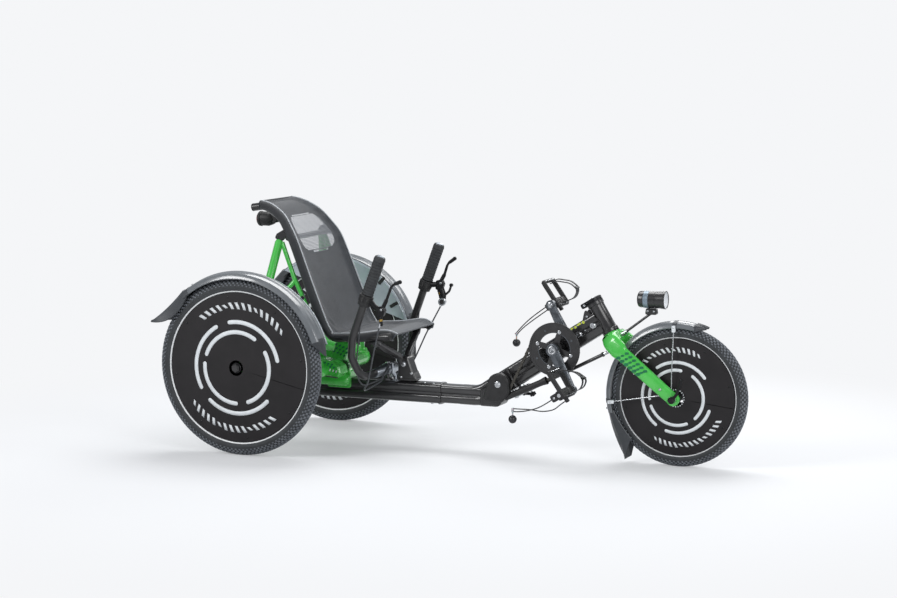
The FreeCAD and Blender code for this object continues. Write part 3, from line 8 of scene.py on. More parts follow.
import bmesh
import bpy
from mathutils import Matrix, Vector


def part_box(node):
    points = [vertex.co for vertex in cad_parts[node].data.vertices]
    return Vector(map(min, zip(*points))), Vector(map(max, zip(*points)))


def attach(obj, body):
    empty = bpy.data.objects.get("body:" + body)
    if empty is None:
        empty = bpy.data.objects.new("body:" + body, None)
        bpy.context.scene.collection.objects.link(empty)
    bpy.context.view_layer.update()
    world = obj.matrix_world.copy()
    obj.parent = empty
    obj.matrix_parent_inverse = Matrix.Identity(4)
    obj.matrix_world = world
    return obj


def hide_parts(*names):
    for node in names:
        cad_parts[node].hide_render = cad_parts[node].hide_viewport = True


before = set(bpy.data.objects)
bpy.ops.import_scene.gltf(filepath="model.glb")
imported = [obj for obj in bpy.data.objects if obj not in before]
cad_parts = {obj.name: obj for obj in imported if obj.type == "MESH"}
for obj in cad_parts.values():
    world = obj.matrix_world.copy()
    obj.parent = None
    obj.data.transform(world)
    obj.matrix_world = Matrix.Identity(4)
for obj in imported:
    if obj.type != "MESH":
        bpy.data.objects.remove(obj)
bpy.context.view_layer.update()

# ------------------------------------------------------------------ camera, floor and light
# A large studio: pale seamless floor and backdrop, one wide overhead softbox, a key from the
# front left and weak fills, so that black parts show their edges and the paint stays true.
MM = 0.001
RIGHT, LEFT = -1, 1
SIDES = (("right", RIGHT), ("left", LEFT))
HANDS = (RIGHT, LEFT)
FORWARD, SIDEWAYS, UP = Vector((1, 0, 0)), Vector((0, 1, 0)), Vector((0, 0, 1))


def middle_of(node):
    """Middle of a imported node's box, in millimetres as all drafting below is."""
    low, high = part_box(node)
    return (low + high) / 2 / MM


REAR_AXLE = middle_of("rear_wheel_right") * Vector((1, 0, 1))
FRONT_AXLE = middle_of("front_wheel") * Vector((1, 0, 1))


def at(x, y, z):
    """Place in millimetres: forward of the rear axle, to the rider's left, above the floor."""
    return Vector((REAR_AXLE.x + x, y, z))


def in_plane(degrees):
    """Unit vector in the upright middle plane; 0 is forwards and 90 is up."""
    angle = math.radians(degrees)
    return Vector((math.cos(angle), 0, math.sin(angle)))


def linear(colour):
    """sRGB hex to the linear RGBA that a shader reads."""
    parts = [int(colour[i:i + 2], 16) / 255 for i in (1, 3, 5)]
    return (*[c / 12.92 if c <= 0.04045 else ((c + 0.055) / 1.055) ** 2.4 for c in parts], 1)


def add(tree, kind, inputs=(), **settings):
    """Add one node, set its properties, then fill or link its inputs by name or number."""
    node = tree.nodes.new("ShaderNode" + kind)
    for name, value in settings.items():
        setattr(node, name, value)
    for socket, value in dict(inputs).items():
        if isinstance(value, bpy.types.Node):
            value = value.outputs[0]
        if isinstance(value, bpy.types.NodeSocket):
            tree.links.new(value, node.inputs[socket])
        else:
            node.inputs[socket].default_value = value
    return node


def new_finish(name):
    """Empty material and its node tree."""
    finish = bpy.data.materials.new(name)
    finish.use_nodes = True
    finish.node_tree.nodes.clear()
    return finish, finish.node_tree


def link(thing):
    """Put an object into the scene."""
    bpy.context.scene.collection.objects.link(thing)
    return thing


def look(thing, place, direction):
    """Set an object down with its back along a direction, as cameras and lamps are aimed."""
    thing.location = place
    thing.rotation_mode = "QUATERNION"
    thing.rotation_quaternion = direction.to_track_quat("Z", "Y")


CAMERA_AZIMUTH, CAMERA_RISE, CAMERA_FAR = 22.651, 6.639, 6.2247
AIM = at(501.9, 0, 430.7) * MM
bpy.context.scene.view_settings.view_transform = "Standard"
camera = link(bpy.data.objects.new("camera", bpy.data.cameras.new("camera")))
bpy.context.scene.camera = camera
azimuth, rise = math.radians(CAMERA_AZIMUTH), math.radians(CAMERA_RISE)
camera_back = Vector((math.sin(azimuth) * math.cos(rise), -math.cos(azimuth) * math.cos(rise),
                      math.sin(rise)))
look(camera, AIM + camera_back * CAMERA_FAR, camera_back)
camera.data.sensor_width, camera.data.lens = 36, 87.99

# Seamless paper: matt pale grey near the trike, so that it keeps the shadow, and bare white far off
STUDIO_WHITE = "#F5F6F8"
FLOOR_HALF, PAPER_NEAR, PAPER_FAR = 30, 0.9, 2.0
seamless, tree = new_finish("seamless_paper")
rays = add(tree, "LightPath")
paper = add(tree, "BsdfDiffuse", {"Color": linear("#BCBDBF")})
glow = add(tree, "Emission", {"Color": linear(STUDIO_WHITE), "Strength": 0.32})
away = add(tree, "VectorMath", {0: add(tree, "TexCoord").outputs["Object"]}, operation="LENGTH")
fade = add(tree, "MapRange", {"Value": away.outputs["Value"], "From Min": PAPER_NEAR,
                              "From Max": PAPER_FAR}, interpolation_type="SMOOTHSTEP")
far = add(tree, "Emission", {"Color": linear(STUDIO_WHITE), "Strength": 1.0})
shown = add(tree, "MixShader", {0: fade, 1: add(tree, "AddShader", {0: paper, 1: glow}), 2: far})
bounce = add(tree, "BsdfDiffuse", {"Color": linear("#CFD0D2")})
seen = add(tree, "MixShader", {0: rays.outputs["Is Camera Ray"], 1: bounce, 2: shown})
add(tree, "OutputMaterial", {"Surface": seen})
floor_mesh = bpy.data.meshes.new("floor")
floor_mesh.from_pydata([(x * FLOOR_HALF, y * FLOOR_HALF, 0) for x, y in ((-1, -1), (1, -1), (1, 1), (-1, 1))],
                       [], [(0, 1, 2, 3)])
floor = link(bpy.data.objects.new("floor", floor_mesh))
floor.data.materials.append(seamless)

world = bpy.data.worlds.new("studio")
world.use_nodes = True
bpy.context.scene.world = world
tree = world.node_tree
tree.nodes.clear()
rays = add(tree, "LightPath")
backdrop = add(tree, "Background", {"Color": linear(STUDIO_WHITE), "Strength": 1.0})
room = add(tree, "Background", {"Color": linear("#DDE2E8"), "Strength": 0.42})
sharp = add(tree, "Math", {0: rays.outputs["Is Camera Ray"], 1: rays.outputs["Is Transmission Ray"]},
            operation="MAXIMUM")
add(tree, "OutputWorld", {"Surface": add(tree, "MixShader", {0: sharp, 1: room, 2: backdrop})})

# Softboxes: name, place, aim, width and height in metres, watts
for name, place, aim, width, height, power in (
        ("overhead", (-0.1, 1.3, 3.5), (0.1, 0.0, 0.2), 3.2, 1.8, 105),
        ("key", (-2.6, -3.4, 2.6), (0.0, 0.0, 0.3), 1.6, 1.6, 96),
        ("fill", (3.2, -2.6, 1.8), (0.2, 0.0, 0.3), 1.8, 1.8, 62),
        ("front", (3.9, 0.7, 2.2), (0.0, -0.1, 0.3), 1.5, 1.1, 30),
        ("behind", (0.4, 3.4, 2.2), (0.0, 0.0, 0.4), 2.6, 1.2, 40)):
    lamp = bpy.data.lights.new(name, "AREA")
    lamp.shape = "RECTANGLE"
    lamp.size, lamp.size_y, lamp.energy = width, height, power
    look(link(bpy.data.objects.new(name, lamp)), place, Vector(place) - Vector(aim))

# ------------------------------------------------------------------ pull cords of the pedal clips
# Two thin braided nylon strands leave each pedal's clip and meet in a moulded ferrule,
# with a rubber ball hanging below it for the rider's hand.
CORD_DIAMETER = 3.2 * MM
YARN_WIDTH = 1.0 * MM


def braided_nylon():
    """Braided nylon: fine crossing yarns, drawn at 1 mm so that they show, with a soft sheen."""
    finish, tree = new_finish("braided_nylon")
    yarns = add(tree, "TexWave", {"Vector": add(tree, "TexCoord").outputs["Object"],
                                  "Scale": 1 / YARN_WIDTH / 6.28, "Distortion": 1.5},
                bands_direction="DIAGONAL").outputs["Fac"]
    shade = add(tree, "ValToRGB", {"Fac": yarns})
    for stop, colour in zip(shade.color_ramp.elements, ("#0F1012", "#26272A")):
        stop.color = linear(colour)
    bump = add(tree, "Bump", {"Height": yarns, "Strength": 0.5, "Distance": 0.3 * MM})
    surface = add(tree, "BsdfPrincipled", {"Base Color": shade, "Roughness": 0.75,
                                           "Sheen Weight": 0.3, "Normal": bump})
    add(tree, "OutputMaterial", {"Surface": surface})
    return finish


BRAIDED_NYLON = braided_nylon()


def cord_curve(name, points):
    """One NURBS strand through the route's points."""
    curve = bpy.data.curves.new(name, "CURVE")
    curve.dimensions = "3D"
    curve.bevel_depth, curve.bevel_resolution = CORD_DIAMETER / 2, 4
    curve.resolution_u = 12
    curve.use_fill_caps = True
    spline = curve.splines.new("NURBS")
    spline.points.add(len(points) - 1)
    for control, point in zip(spline.points, points):
        control.co = (*point, 1)
    spline.order_u = 3
    spline.use_endpoint_u = True
    curve.materials.append(BRAIDED_NYLON)
    return link(bpy.data.objects.new(name, curve))


# Each strand: side, name, length and the points of its route, in metres
for side, strand, length, points in (
        ("right", "upper", 0.158, [(0.37015, -0.162, 0.18846), (0.35541, -0.162, 0.17813),
                                   (0.33557, -0.1614, 0.16051), (0.30157, -0.1606, 0.15351),
                                   (0.26757, -0.1615, 0.15801), (0.23757, -0.164, 0.15751),
                                   (0.21957, -0.164, 0.15751)]),
        ("right", "lower", 0.120, [(0.33157, -0.165, 0.18951), (0.30372, -0.165, 0.17001),
                                   (0.27557, -0.1672, 0.15851), (0.23757, -0.164, 0.14951),
                                   (0.21957, -0.164, 0.14951)]),
        ("left", "upper", 0.119, [(0.21472, 0.102, 0.40823), (0.17377, 0.102, 0.37955),
                                  (0.13655, 0.104, 0.34438), (0.1253, 0.104, 0.33033)]),
        ("left", "lower", 0.117, [(0.21988, 0.106, 0.40086), (0.1822, 0.106, 0.37447),
                                  (0.13999, 0.104, 0.34163), (0.12873, 0.104, 0.32758)])):
    cord = cord_curve("pull_cord_" + side + "_" + strand, points)
    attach(cord, "pedal_" + side)
    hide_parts("pull_cord_" + side)

# ------------------------------------------------------------------ tyres
# Wired-on rubber tyres on all three wheels: moulded carcass with a ribbed sidewall, a thin white
# reflective band, and small rubber tread blocks, pushed onto the rims by their beads.


def each(value, count):
    """One value for every place, or the list as it is given."""
    return value if isinstance(value, list) else [value] * count


def circle(steps, begin=0.0, turn=2 * math.pi):
    """Cosine and sine at even steps round a circle."""
    return [(math.cos(begin + turn * k / steps), math.sin(begin + turn * k / steps)) for k in range(steps)]


def square_to(axis):
    """Two unit vectors square to an axis and to each other."""
    across = axis.cross(SIDEWAYS if abs(axis.y) < 0.9 else FORWARD).normalized()
    return across, axis.cross(across).normalized()


def runs(path):
    """Unit direction of travel at each point of a path."""
    return [(on - back).normalized() for back, on in zip(path[:1] + path[:-1], path[1:] + path[-1:])]


def carried_frames(path):
    """Square pairs carried along a path without twist."""
    frames, across = [], None
    for run in runs(path):
        across = square_to(run)[0] if across is None else across
        across = (across - run * across.dot(run)).normalized()
        frames.append((across, run.cross(across).normalized()))
    return frames


class Work:
    """One piece on the bench: parts are added to its mesh, then it is finished once."""

    def __init__(self, name, *finishes):
        self.name = name
        self.finishes = finishes
        self.mesh = bmesh.new()

    def skin(self, rows, finish=0, ring=True, caps=True, loop=False):
        """Faces between rows of points; rows are rings unless ring is off."""
        made = [[self.mesh.verts.new(point) for point in row] for row in rows]
        count = len(made[0])
        faces = []
        for first, second in list(zip(made, made[1:])) + ([(made[-1], made[0])] if loop else []):
            for index in range(count if ring else count - 1):
                after = (index + 1) % count
                faces.append(self.mesh.faces.new((first[index], first[after], second[after], second[index])))
        if caps and ring and not loop:
            faces += [self.mesh.faces.new(made[0][::-1]), self.mesh.faces.new(made[-1])]
        for face in faces:
            face.material_index = finish
        return faces

    def turn(self, profile, middle, axis, steps=48, finish=0, loop=False):
        """Turned part: (along, radius) pairs about an axis through a point."""
        across, other = square_to(axis)
        return self.skin([[middle + axis * along + (across * c + other * s) * max(radius, 0.001)
                           for c, s in circle(steps)] for along, radius in profile],
                         finish, loop=loop, caps=not loop)

    def tube(self, path, radius, steps=16, finish=0):
        """Round bar along a path; radius is one value or one per point."""
        return self.skin([[point + (across * c + other * s) * wide for c, s in circle(steps)]
                          for point, wide, (across, other)
                          in zip(path, each(radius, len(path)), carried_frames(path))], finish)

    def bolt(self, place, axis, radius, height, finish=0, washer=0.0):
        """Cap screw: washer, round head with a broken edge, and a hexagon socket."""
        across, other = square_to(axis)

        def ring(along, size, hexagon=False):
            row = []
            for step, (c, s) in enumerate(circle(24)):
                corner = math.pi * step / 12 % (math.pi / 3) - math.pi / 6
                flat = math.cos(math.pi / 6) / math.cos(corner) if hexagon else 1
                row.append(place + axis * along + (across * c + other * s) * size * flat)
            return row
        if washer:
            self.skin([ring(-0.2, washer), ring(1.0, washer), ring(1.2, washer - 0.3)], finish)
        base = 1.0 if washer else -0.2
        top = base + height
        self.skin([ring(base, radius), ring(top - 0.6, radius), ring(top, radius - 0.7),
                   ring(top, radius * 0.55, True), ring(top - height * 0.55, radius * 0.5, True)], finish)

    def plate(self, outline, centre, thickness, chamfer, finish=0, along=FORWARD, face=SIDEWAYS):
        """Flat plate with broken edges from (along, up) pairs, centred on its thickness."""
        area = sum(one[0] * two[1] - two[0] * one[1] for one, two in zip(outline[-1:] + outline, outline))
        inset = []
        for before, here, after in zip(outline[-1:] + outline, outline, outline[1:] + outline[:1]):
            run = (after[0] - before[0], after[1] - before[1])
            step = math.copysign(chamfer, area) / (math.hypot(*run) or 1)
            inset.append((here[0] - run[1] * step, here[1] + run[0] * step))
        up, half = along.cross(face), thickness / 2
        return self.skin([[centre + along * x + up * z + face * depth for x, z in shape]
                          for depth, shape in ((-half, inset), (chamfer - half, outline),
                                               (half - chamfer, outline), (half, inset))], finish)

    def piece(self, body, *nodes, place=Vector(), angle=38, bevel=0, slot="black_metal"):
        """Make the object, shade it, ride it on its body and hide the nodes it stands for."""
        bmesh.ops.recalc_face_normals(self.mesh, faces=self.mesh.faces)
        bmesh.ops.translate(self.mesh, vec=-place, verts=self.mesh.verts)
        bmesh.ops.scale(self.mesh, vec=(MM, MM, MM), verts=self.mesh.verts)
        data = bpy.data.meshes.new(self.name)
        self.mesh.to_mesh(data)
        self.mesh.free()
        data.shade_smooth()
        data.set_sharp_from_angle(angle=math.radians(angle))
        for finish in self.finishes:
            data.materials.append(finish)
        thing = link(bpy.data.objects.new(self.name, data))
        thing.location = place * MM
        if bevel:
            edge = thing.modifiers.new("edge", "BEVEL")
            edge.width, edge.segments, edge.limit_method = bevel * MM, 2, "ANGLE"
            edge.angle_limit = math.radians(40)
            edge.harden_normals = True
        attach(thing, body)
        if nodes:
            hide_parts(*nodes)
        return thing

    def solidify(self, thing, name, thickness):
        """Give a finished sheet its real thickness."""
        sheet = thing.modifiers.new(name, "SOLIDIFY")
        sheet.thickness, sheet.offset = thickness * MM, 0
        return thing


def two_shades(tree, value, dark, light):
    """Colour that goes from dark to light with a value."""
    shade = add(tree, "ValToRGB", {"Fac": value})
    for stop, position, colour in zip(shade.color_ramp.elements, (0.3, 0.75), (dark, light)):
        stop.position, stop.color = position, linear(colour)
    return shade


def mottled(name, dark, light, size, rough, relief=0.0, grain=2.0, cells=False, shader=None):
    """Finish in two shades mottled at size mm: rough is its range of roughness, relief the strength
    of a fine noise or, with cells, of a fine pebble at grain mm; shader sets its other sockets."""
    finish, tree = new_finish(name)
    place = add(tree, "TexCoord").outputs["Object"]
    cloud = add(tree, "TexNoise", {"Vector": place, "Scale": 1 / (size * MM), "Detail": 5.0,
                                   "Roughness": 0.6}).outputs["Fac"]
    sockets = {"Base Color": two_shades(tree, cloud, dark, light), "Roughness": add(
        tree, "MapRange", {"Value": cloud, "To Min": rough[0], "To Max": rough[1]}), **(shader or {})}
    if relief:
        fine = add(tree, "TexVoronoi" if cells else "TexNoise", {"Vector": place, "Scale": 1 / (grain * MM)})
        sockets["Normal"] = add(tree, "Bump", {"Height": fine, "Strength": relief, "Distance": 0.3 * MM})
    add(tree, "OutputMaterial", {"Surface": add(tree, "BsdfPrincipled", sockets)})
    return finish


# Tyre rubber: matt charcoal sidewalls, the tread blocks drawn in a lighter grey
TYRE_RUBBER = mottled("moulded_tyre_rubber", "#2E3032", "#3D4043", 30, (0.62, 0.8), 0.3, 1.5)
BLOCK_RUBBER = mottled("light_grey_tread_rubber", "#5A5E64", "#767A80", 30, (0.7, 0.9), 0.35, 1.5)
# Reflective band: fine glass beads in white ink, slightly glossy
REFLECTIVE = mottled("reflective_band", "#D8DADB", "#F6F7F8", 4, (0.4, 0.5))
TREAD_DEPTH, BLOCK_TAPER, AROUND = 2.4, 0.08, 288
# Rubber block rows across the tread: (from, to) in degrees round the section, share of the pitch, shift
TREAD_ROWS = [(-9, 9, 0.78, 0.0), (13, 29, 0.66, 0.5), (33, 49, 0.6, 0.05), (53, 66, 0.56, 0.55),
              (69, 80, 0.4, 0.2)]
# Section of the carcass in degrees from the crown: the band's two edges and a rib are sunk in
SECTION_ROLLS = [-137, -131, -129.5, -121, -119.5, -112, -106, -100, -94, -92, -90, -84, -74, -62, -50,
                 -38, -24, -12]


def tyre(name, node, body, rim_radius, pitches):
    """Carcass, tread blocks and reflective bands of one tyre."""
    low, high = [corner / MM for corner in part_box(node)]
    middle, half = (low + high) / 2, (high.y - low.y) / 2
    bead_middle = (high.z - low.z) / 2 - half
    bead_roll = math.degrees(math.acos((rim_radius - bead_middle) / half))
    work = Work(name, TYRE_RUBBER, REFLECTIVE, BLOCK_RUBBER)

    def section_point(roll, around, swell=0.0):
        """Point on the tyre: roll is degrees round its section from the tread's crown."""
        turn, reach = math.radians(roll), half - TREAD_DEPTH + swell
        outward = Vector((math.cos(around), 0, math.sin(around)))
        return (middle + outward * (bead_middle + reach * math.cos(turn))
                + SIDEWAYS * reach * math.sin(turn))

    def block(first, last, begin, end, slant):
        """One rubber tread block with drafted sides."""
        rows = []
        for lift, inset in ((-0.3, 0.0), (TREAD_DEPTH - 0.3, BLOCK_TAPER), (TREAD_DEPTH, BLOCK_TAPER * 2)):
            roll_in, along_in = (last - first) * inset, (end - begin) * inset
            rows.append([section_point(first + roll_in, begin + along_in, lift),
                         section_point(first + roll_in, end - along_in, lift),
                         section_point(last - roll_in, end - along_in + slant, lift),
                         section_point(last - roll_in, begin + along_in + slant, lift)])
        work.skin(rows, finish=2)

    rolls = [-bead_roll, -bead_roll + 7] + SECTION_ROLLS
    rings = []
    for roll in rolls + [0] + [-roll for roll in reversed(rolls)]:
        sink = 0.35 if 120 < abs(roll) < 130 else 0.7 if 91 < abs(roll) < 93 else 0.0
        rings.append([section_point(roll, 2 * math.pi * step / AROUND, sink) for step in range(AROUND)])
    for face in work.skin(rings, loop=True, caps=False):
        spot = face.calc_center_median() - middle
        roll = abs(math.degrees(math.atan2(spot.y, math.hypot(spot.x, spot.z) - bead_middle)))
        if 119.5 < roll < 131:
            face.material_index = 1
    for first, last, share, shift in TREAD_ROWS:
        for hand in (1,) if first < 0 else (1, -1):
            for pitch in range(pitches):
                begin = 2 * math.pi * (pitch + shift) / pitches
                end = begin + 2 * math.pi * share / pitches
                slant = (end - begin) * (0.12 if first >= 0 else 0.0) * hand
                block(hand * first, hand * last, begin, end, slant)
    work.piece(body, node, place=middle, angle=35, slot="tyre_rubber")


REAR_RIM, FRONT_RIM = 206, 156
for side, _ in SIDES:
    tyre("tyre_rear_" + side, "rear_tyre_" + side, "rear_wheel_" + side, REAR_RIM, 120)
tyre("tyre_front", "front_tyre", "front_wheel", FRONT_RIM, 96)

# ------------------------------------------------------------------ wheel covers, rims and hubs
# Each spoked wheel is closed by two shallow cones of black polypropylene sheet, slit once so that
# they spring into the rim, with a vinyl pattern in white, and an aluminium hub in the middle.

# Polypropylene sheet of the covers: near black and satin, with faint rub marks
COVER_SHEET = mottled("black_polypropylene_sheet", "#151214", "#1F1C1E", 60, (0.42, 0.6), 0.08, 1.5,
                      shader={"IOR": 1.49, "Specular IOR Level": 0.4})
# Cut vinyl film: even white, satin, very slightly soiled
WHITE_VINYL = mottled("cut_white_vinyl", "#D6DADD", "#E6EAED", 25, (0.38, 0.45))
# Black anodised aluminium: dark satin metal with a fine machined grain
ANODISED = mottled("black_anodised_aluminium", "#1A1A1B", "#2A2A2C", 20, (0.26, 0.42), 0.08, 2,
                   shader={"Metallic": 0.6})
# Zinc-plated and stainless fasteners, rods and axles: bright, with fine turning marks
BRIGHT_STEEL = mottled("bright_steel", "#B4B6B9", "#DADCDE", 3, (0.18, 0.34), shader={"Metallic": 1.0})
SLIT_HALF, SHEET_THICK, RIVETS = 0.7, 1.2, 8
HUB_RADIUS, RIM_HALF = 26, 11
# The covers lap over the rim's edge on to the foot of the tyre
COVER_LAP, COVER_STEP = 5, 6.4
FILM_PROUD, FILM_THICK = 0.25, 0.15
# Vinyl pattern, the same on every cover: (radius share, from, to) of six round-ended arcs, and
# (from, to) of two bands of slanted dashes
ARC_HALF, ARCS = 0.029, [(0.64, 12, 100), (0.64, 120, 208), (0.64, 228, 316), (0.50, 56, 160),
                         (0.50, 176, 268), (0.50, 290, 388)]
DASH_SHARE, DASH_COUNT, DASHES = 0.865, 15, [(38, 128), (218, 308)]
HUB_TICKS = 22


def mirrored(profile):
    """Profile of a turned part whose two ends are alike, from the pairs of its first half."""
    return [(-along, radius) for along, radius in profile] + list(reversed(profile))


def wheel(place, node, rim_radius, hub_half, bore, slit_degrees, film_degrees):
    """One wheel: covers with their slit, rim flanges, rivets and hub, and the vinyl on both covers."""
    middle, edge, slit = middle_of(node), rim_radius + COVER_LAP, math.radians(slit_degrees)

    def cover_height(radius):
        """How far a cover stands out from the wheel's middle at a radius."""
        share = (radius - HUB_RADIUS) / (edge - HUB_RADIUS)
        return hub_half + (RIM_HALF + COVER_STEP - hub_half) * max(0.0, share)

    work = Work("cover_" + place, COVER_SHEET, ANODISED)
    radii = [HUB_RADIUS - 4, HUB_RADIUS, HUB_RADIUS + 3, edge * 0.4, edge * 0.6, edge * 0.8,
             edge - 12, edge - 3, edge - 0.8, edge]
    for hand in HANDS:
        ring = []
        for layer, order in ((0.0, radii), (-SHEET_THICK, reversed(radii))):
            for radius in order:
                lift = cover_height(radius) + layer - (0.8 if radius == edge else 0)
                gap = (SLIT_HALF if radius > HUB_RADIUS + 20 else 0.02) / radius
                ring.append([middle + in_plane(math.degrees(slit + gap + (2 * math.pi - 2 * gap) * step / 180))
                             * radius + SIDEWAYS * hand * lift for step in range(181)])
        work.skin(ring, ring=False, caps=False, loop=True)
        radius = rim_radius - 7
        for index in range(RIVETS):
            spot = middle + in_plane(slit_degrees + 360 * (index + 0.5) / RIVETS) * radius
            work.turn([(-0.5, 3.2), (0.4, 3.2), (1.1, 2.2), (1.3, 0.4)],
                      spot + SIDEWAYS * hand * cover_height(radius), SIDEWAYS * hand, 16, 1)
    work.turn(mirrored([(RIM_HALF + 0.6, rim_radius - 9), (RIM_HALF + 0.6, rim_radius - 0.6),
                        (RIM_HALF - 1, rim_radius)])
              + [(RIM_HALF - 2, rim_radius - 13), (2 - RIM_HALF, rim_radius - 13)],
              middle, SIDEWAYS, 180, 1, True)
    work.turn(mirrored([(hub_half, bore), (hub_half, 14), (hub_half - 1, 15), (hub_half - 6, 15),
                        (hub_half - 6, 12)]), middle, SIDEWAYS, 40, 1, True)
    work.piece(node, node, place=middle, angle=30, slot="cover_plastic")

    work, reach = Work("vinyl_" + place, WHITE_VINYL), rim_radius - 4

    def spot(hand, radius, degrees):
        return (middle + in_plane(degrees + film_degrees) * radius
                + SIDEWAYS * hand * (cover_height(radius) + FILM_PROUD))

    for hand in HANDS:
        for share, begin, end in ARCS:
            radius, half = share * reach, ARC_HALF * reach
            round_end = math.degrees(half / radius)
            cap = circle(20)[:6]
            stations = [(begin - round_end * c, max(s, 0.02)) for c, s in cap]
            stations += [(begin + (end - begin) * k / 24, 1.0) for k in range(1, 24)]
            stations += [(end + round_end * c, max(s, 0.02)) for c, s in reversed(cap)]
            work.skin([[spot(hand, radius + half * part * k, degrees) for k in (-1, 0, 1)]
                       for degrees, part in stations], ring=False)
        for begin, end in DASHES:
            for index in range(DASH_COUNT):
                degrees = begin + (end - begin) * index / (DASH_COUNT - 1)
                radius, half = DASH_SHARE * reach, (0.046 if index % 5 else 0.026) * reach
                work.skin([[spot(hand, radius + along * half, degrees + along * 1.6 + side)
                            for side in (-1.5, 1.5)] for along in (-1, 0, 1)], ring=False)
    for index in range(HUB_TICKS if place == "front" else 0):
        for hand in HANDS:
            work.skin([[spot(hand, 23.5 + along, 360 * index / HUB_TICKS + side) for side in (-3.4, 3.4)]
                       for along in (-1.7, 1.7)], ring=False)
    work.solidify(work.piece(node, place=middle, angle=32, slot="cover_plastic"), "film", FILM_THICK)


for side, _ in SIDES:
    wheel("rear_" + side, "rear_wheel_" + side, REAR_RIM, 28, 7.8, -14, 0)
wheel("front", "front_wheel", FRONT_RIM, 34, 4.8, -8, 25)

# ------------------------------------------------------------------ sliding beam
# Two extruded aluminium bars, one inside the other, black powder coated outside and anodised
# inside, each with two stacked lobes and a groove along both flanks.

# Black powder coat: satin with fine orange peel and greyer worn patches
POWDER_BLACK = mottled("black_powder_coat", "#1A191A", "#2C2B2C", 35, (0.26, 0.4), 0.12, 2.2,
                       shader={"Coat Weight": 0.4, "Coat Roughness": 0.16})
# Black anodising of the beam and boom: glossier, so that each lobe draws a long line of light
BEAM_BLACK = mottled("glossy_black_beam_anodising", "#1B1A1B", "#2A292A", 60, (0.24, 0.36), 0.06, 3,
                     shader={"Coat Weight": 1.0, "Coat Roughness": 0.2})
# Moulded black nylon of knobs and cases: matt with a fine leather grain
NYLON = mottled("moulded_black_nylon", "#191819", "#272728", 20, (0.46, 0.58), 0.2, 1.1, True)


def rounded_corner(before, corner, after, radius, steps, limit):
    """Arc that rounds one corner; limit is the share of each run that it may take."""
    back, on = before - corner, after - corner
    half = back.angle(on) / 2
    reach = min(radius / math.tan(half), limit * min(back.length, on.length))
    real = reach * math.tan(half)
    back.normalize()
    on.normalize()
    centre = corner + (back + on).normalized() * (real / math.sin(half))
    first, last = corner + back * reach - centre, corner + on * reach - centre
    return [centre + first.slerp(last, step / steps) * real for step in range(steps + 1)]


def bent(points, radius, steps=8):
    """Straight runs joined by arcs; radius is one value or one per corner."""
    path = points[:1]
    for corner in zip(points, points[1:], points[2:], each(radius, len(points) - 2)):
        path += rounded_corner(*corner, steps, 0.45)
    return path + points[-1:]


def rounded_outline(points, radius, steps=6):
    """Closed outline with rounded corners; radius is one value or one per corner."""
    closed, result = [Vector((x, 0, z)) for x, z in points], []
    for corner in zip(closed[-1:] + closed, closed, closed[1:] + closed[:1], each(radius, len(points))):
        result += [(point.x, point.z) for point in rounded_corner(*corner, steps, 0.48)]
    return result


def oblong(half_long, half_tall, radius, steps=3):
    """Rounded rectangle about its middle."""
    return rounded_outline([(-half_long, -half_tall), (half_long, -half_tall), (half_long, half_tall),
                            (-half_long, half_tall)], radius, steps)


def four_fold(quarter):
    """Closed outline from its upper right quarter, mirrored about both middle lines."""
    upper = quarter + [(-x, z) for x, z in reversed(quarter) if x > 0.01]
    return upper + [(x, -z) for x, z in reversed(upper[1:-1])]


def boom_section(half_width, half_height):
    """Rounded bar with a slot in each flank, as (sideways, up) pairs."""
    corner, groove, mouth = 9, 5.5, 8
    rounding = [(half_width - corner + corner * c, half_height - corner + corner * s)
                for c, s in circle(24)[:7]]
    return four_fold([(half_width - groove, 0), (half_width - groove, mouth * 0.45), (half_width - 1, mouth),
                      (half_width, mouth + 1.2)] + rounding)


def two_lobed(half_width, half_height, groove=5):
    """Outline of two stacked round lobes with a valley along each flank, as (sideways, up) pairs."""
    lobe = []
    for step in range(17):
        turn = math.radians(-90 + 180 * step / 16)
        x, tall = half_width * max(0.0, math.cos(turn)) ** 0.6, math.sin(turn)
        lobe.append((max(x, half_width - groove) if step < 8 else x,
                     half_height / 2 * (1 + math.copysign(abs(tall) ** 0.6, tall))))
    return four_fold(lobe)


def extrusion(work, start, direction, length, outline, inside):
    """Hollow bar swept along a line in the middle plane, with a plug set back from its front end."""
    wall, lift = 2.6, SIDEWAYS.cross(direction)
    end, plug = start + direction * length, start + direction * (length - min(length / 2, 40))
    inner = [(x * (1 - wall / 22), z * (1 - wall / 26)) for x, z in outline]
    rows = [[place + SIDEWAYS * x + lift * z for x, z in shape] for place, shape in (
        (start, inner), (start, outline), (end, outline), (end, inner), (plug, inner))]
    work.skin(rows, caps=False)
    work.skin([rows[-1], [plug - direction + (SIDEWAYS * x + lift * z) * 0.9 for x, z in inner]], inside)


SLIDE_HALF, BEAM_TOP = (24, 27), 189.5
work = Work("beam_sleeve", BEAM_BLACK, BRIGHT_STEEL, NYLON)
extrusion(work, at(70, 0, 160), FORWARD, 418, two_lobed(26.5, 29.5), 2)
work.turn([(-1, 17), (4, 17), (6, 15), (6, 6), (17, 6), (17.5, 5.4)], at(312, 0, BEAM_TOP), UP, 32)
for x in (436, 462):
    work.bolt(at(x, -17, 188), UP, 3.4, 2.2, 1)
for x in (452, 476):
    work.bolt(at(x, 0, 130.6), -UP, 4.5, 3, 1, 7)
work.plate(two_lobed(27.6, 30.6), at(483, 0, 160), 9, 0.6, along=SIDEWAYS, face=FORWARD)
work.piece("frame", "rear_beam", angle=40)

work = Work("beam_slide", BEAM_BLACK, NYLON)
extrusion(work, at(470, 0, 160), FORWARD, 142, two_lobed(*SLIDE_HALF), 1)
work.piece("frame", "front_beam", angle=40, slot="slide_metal")

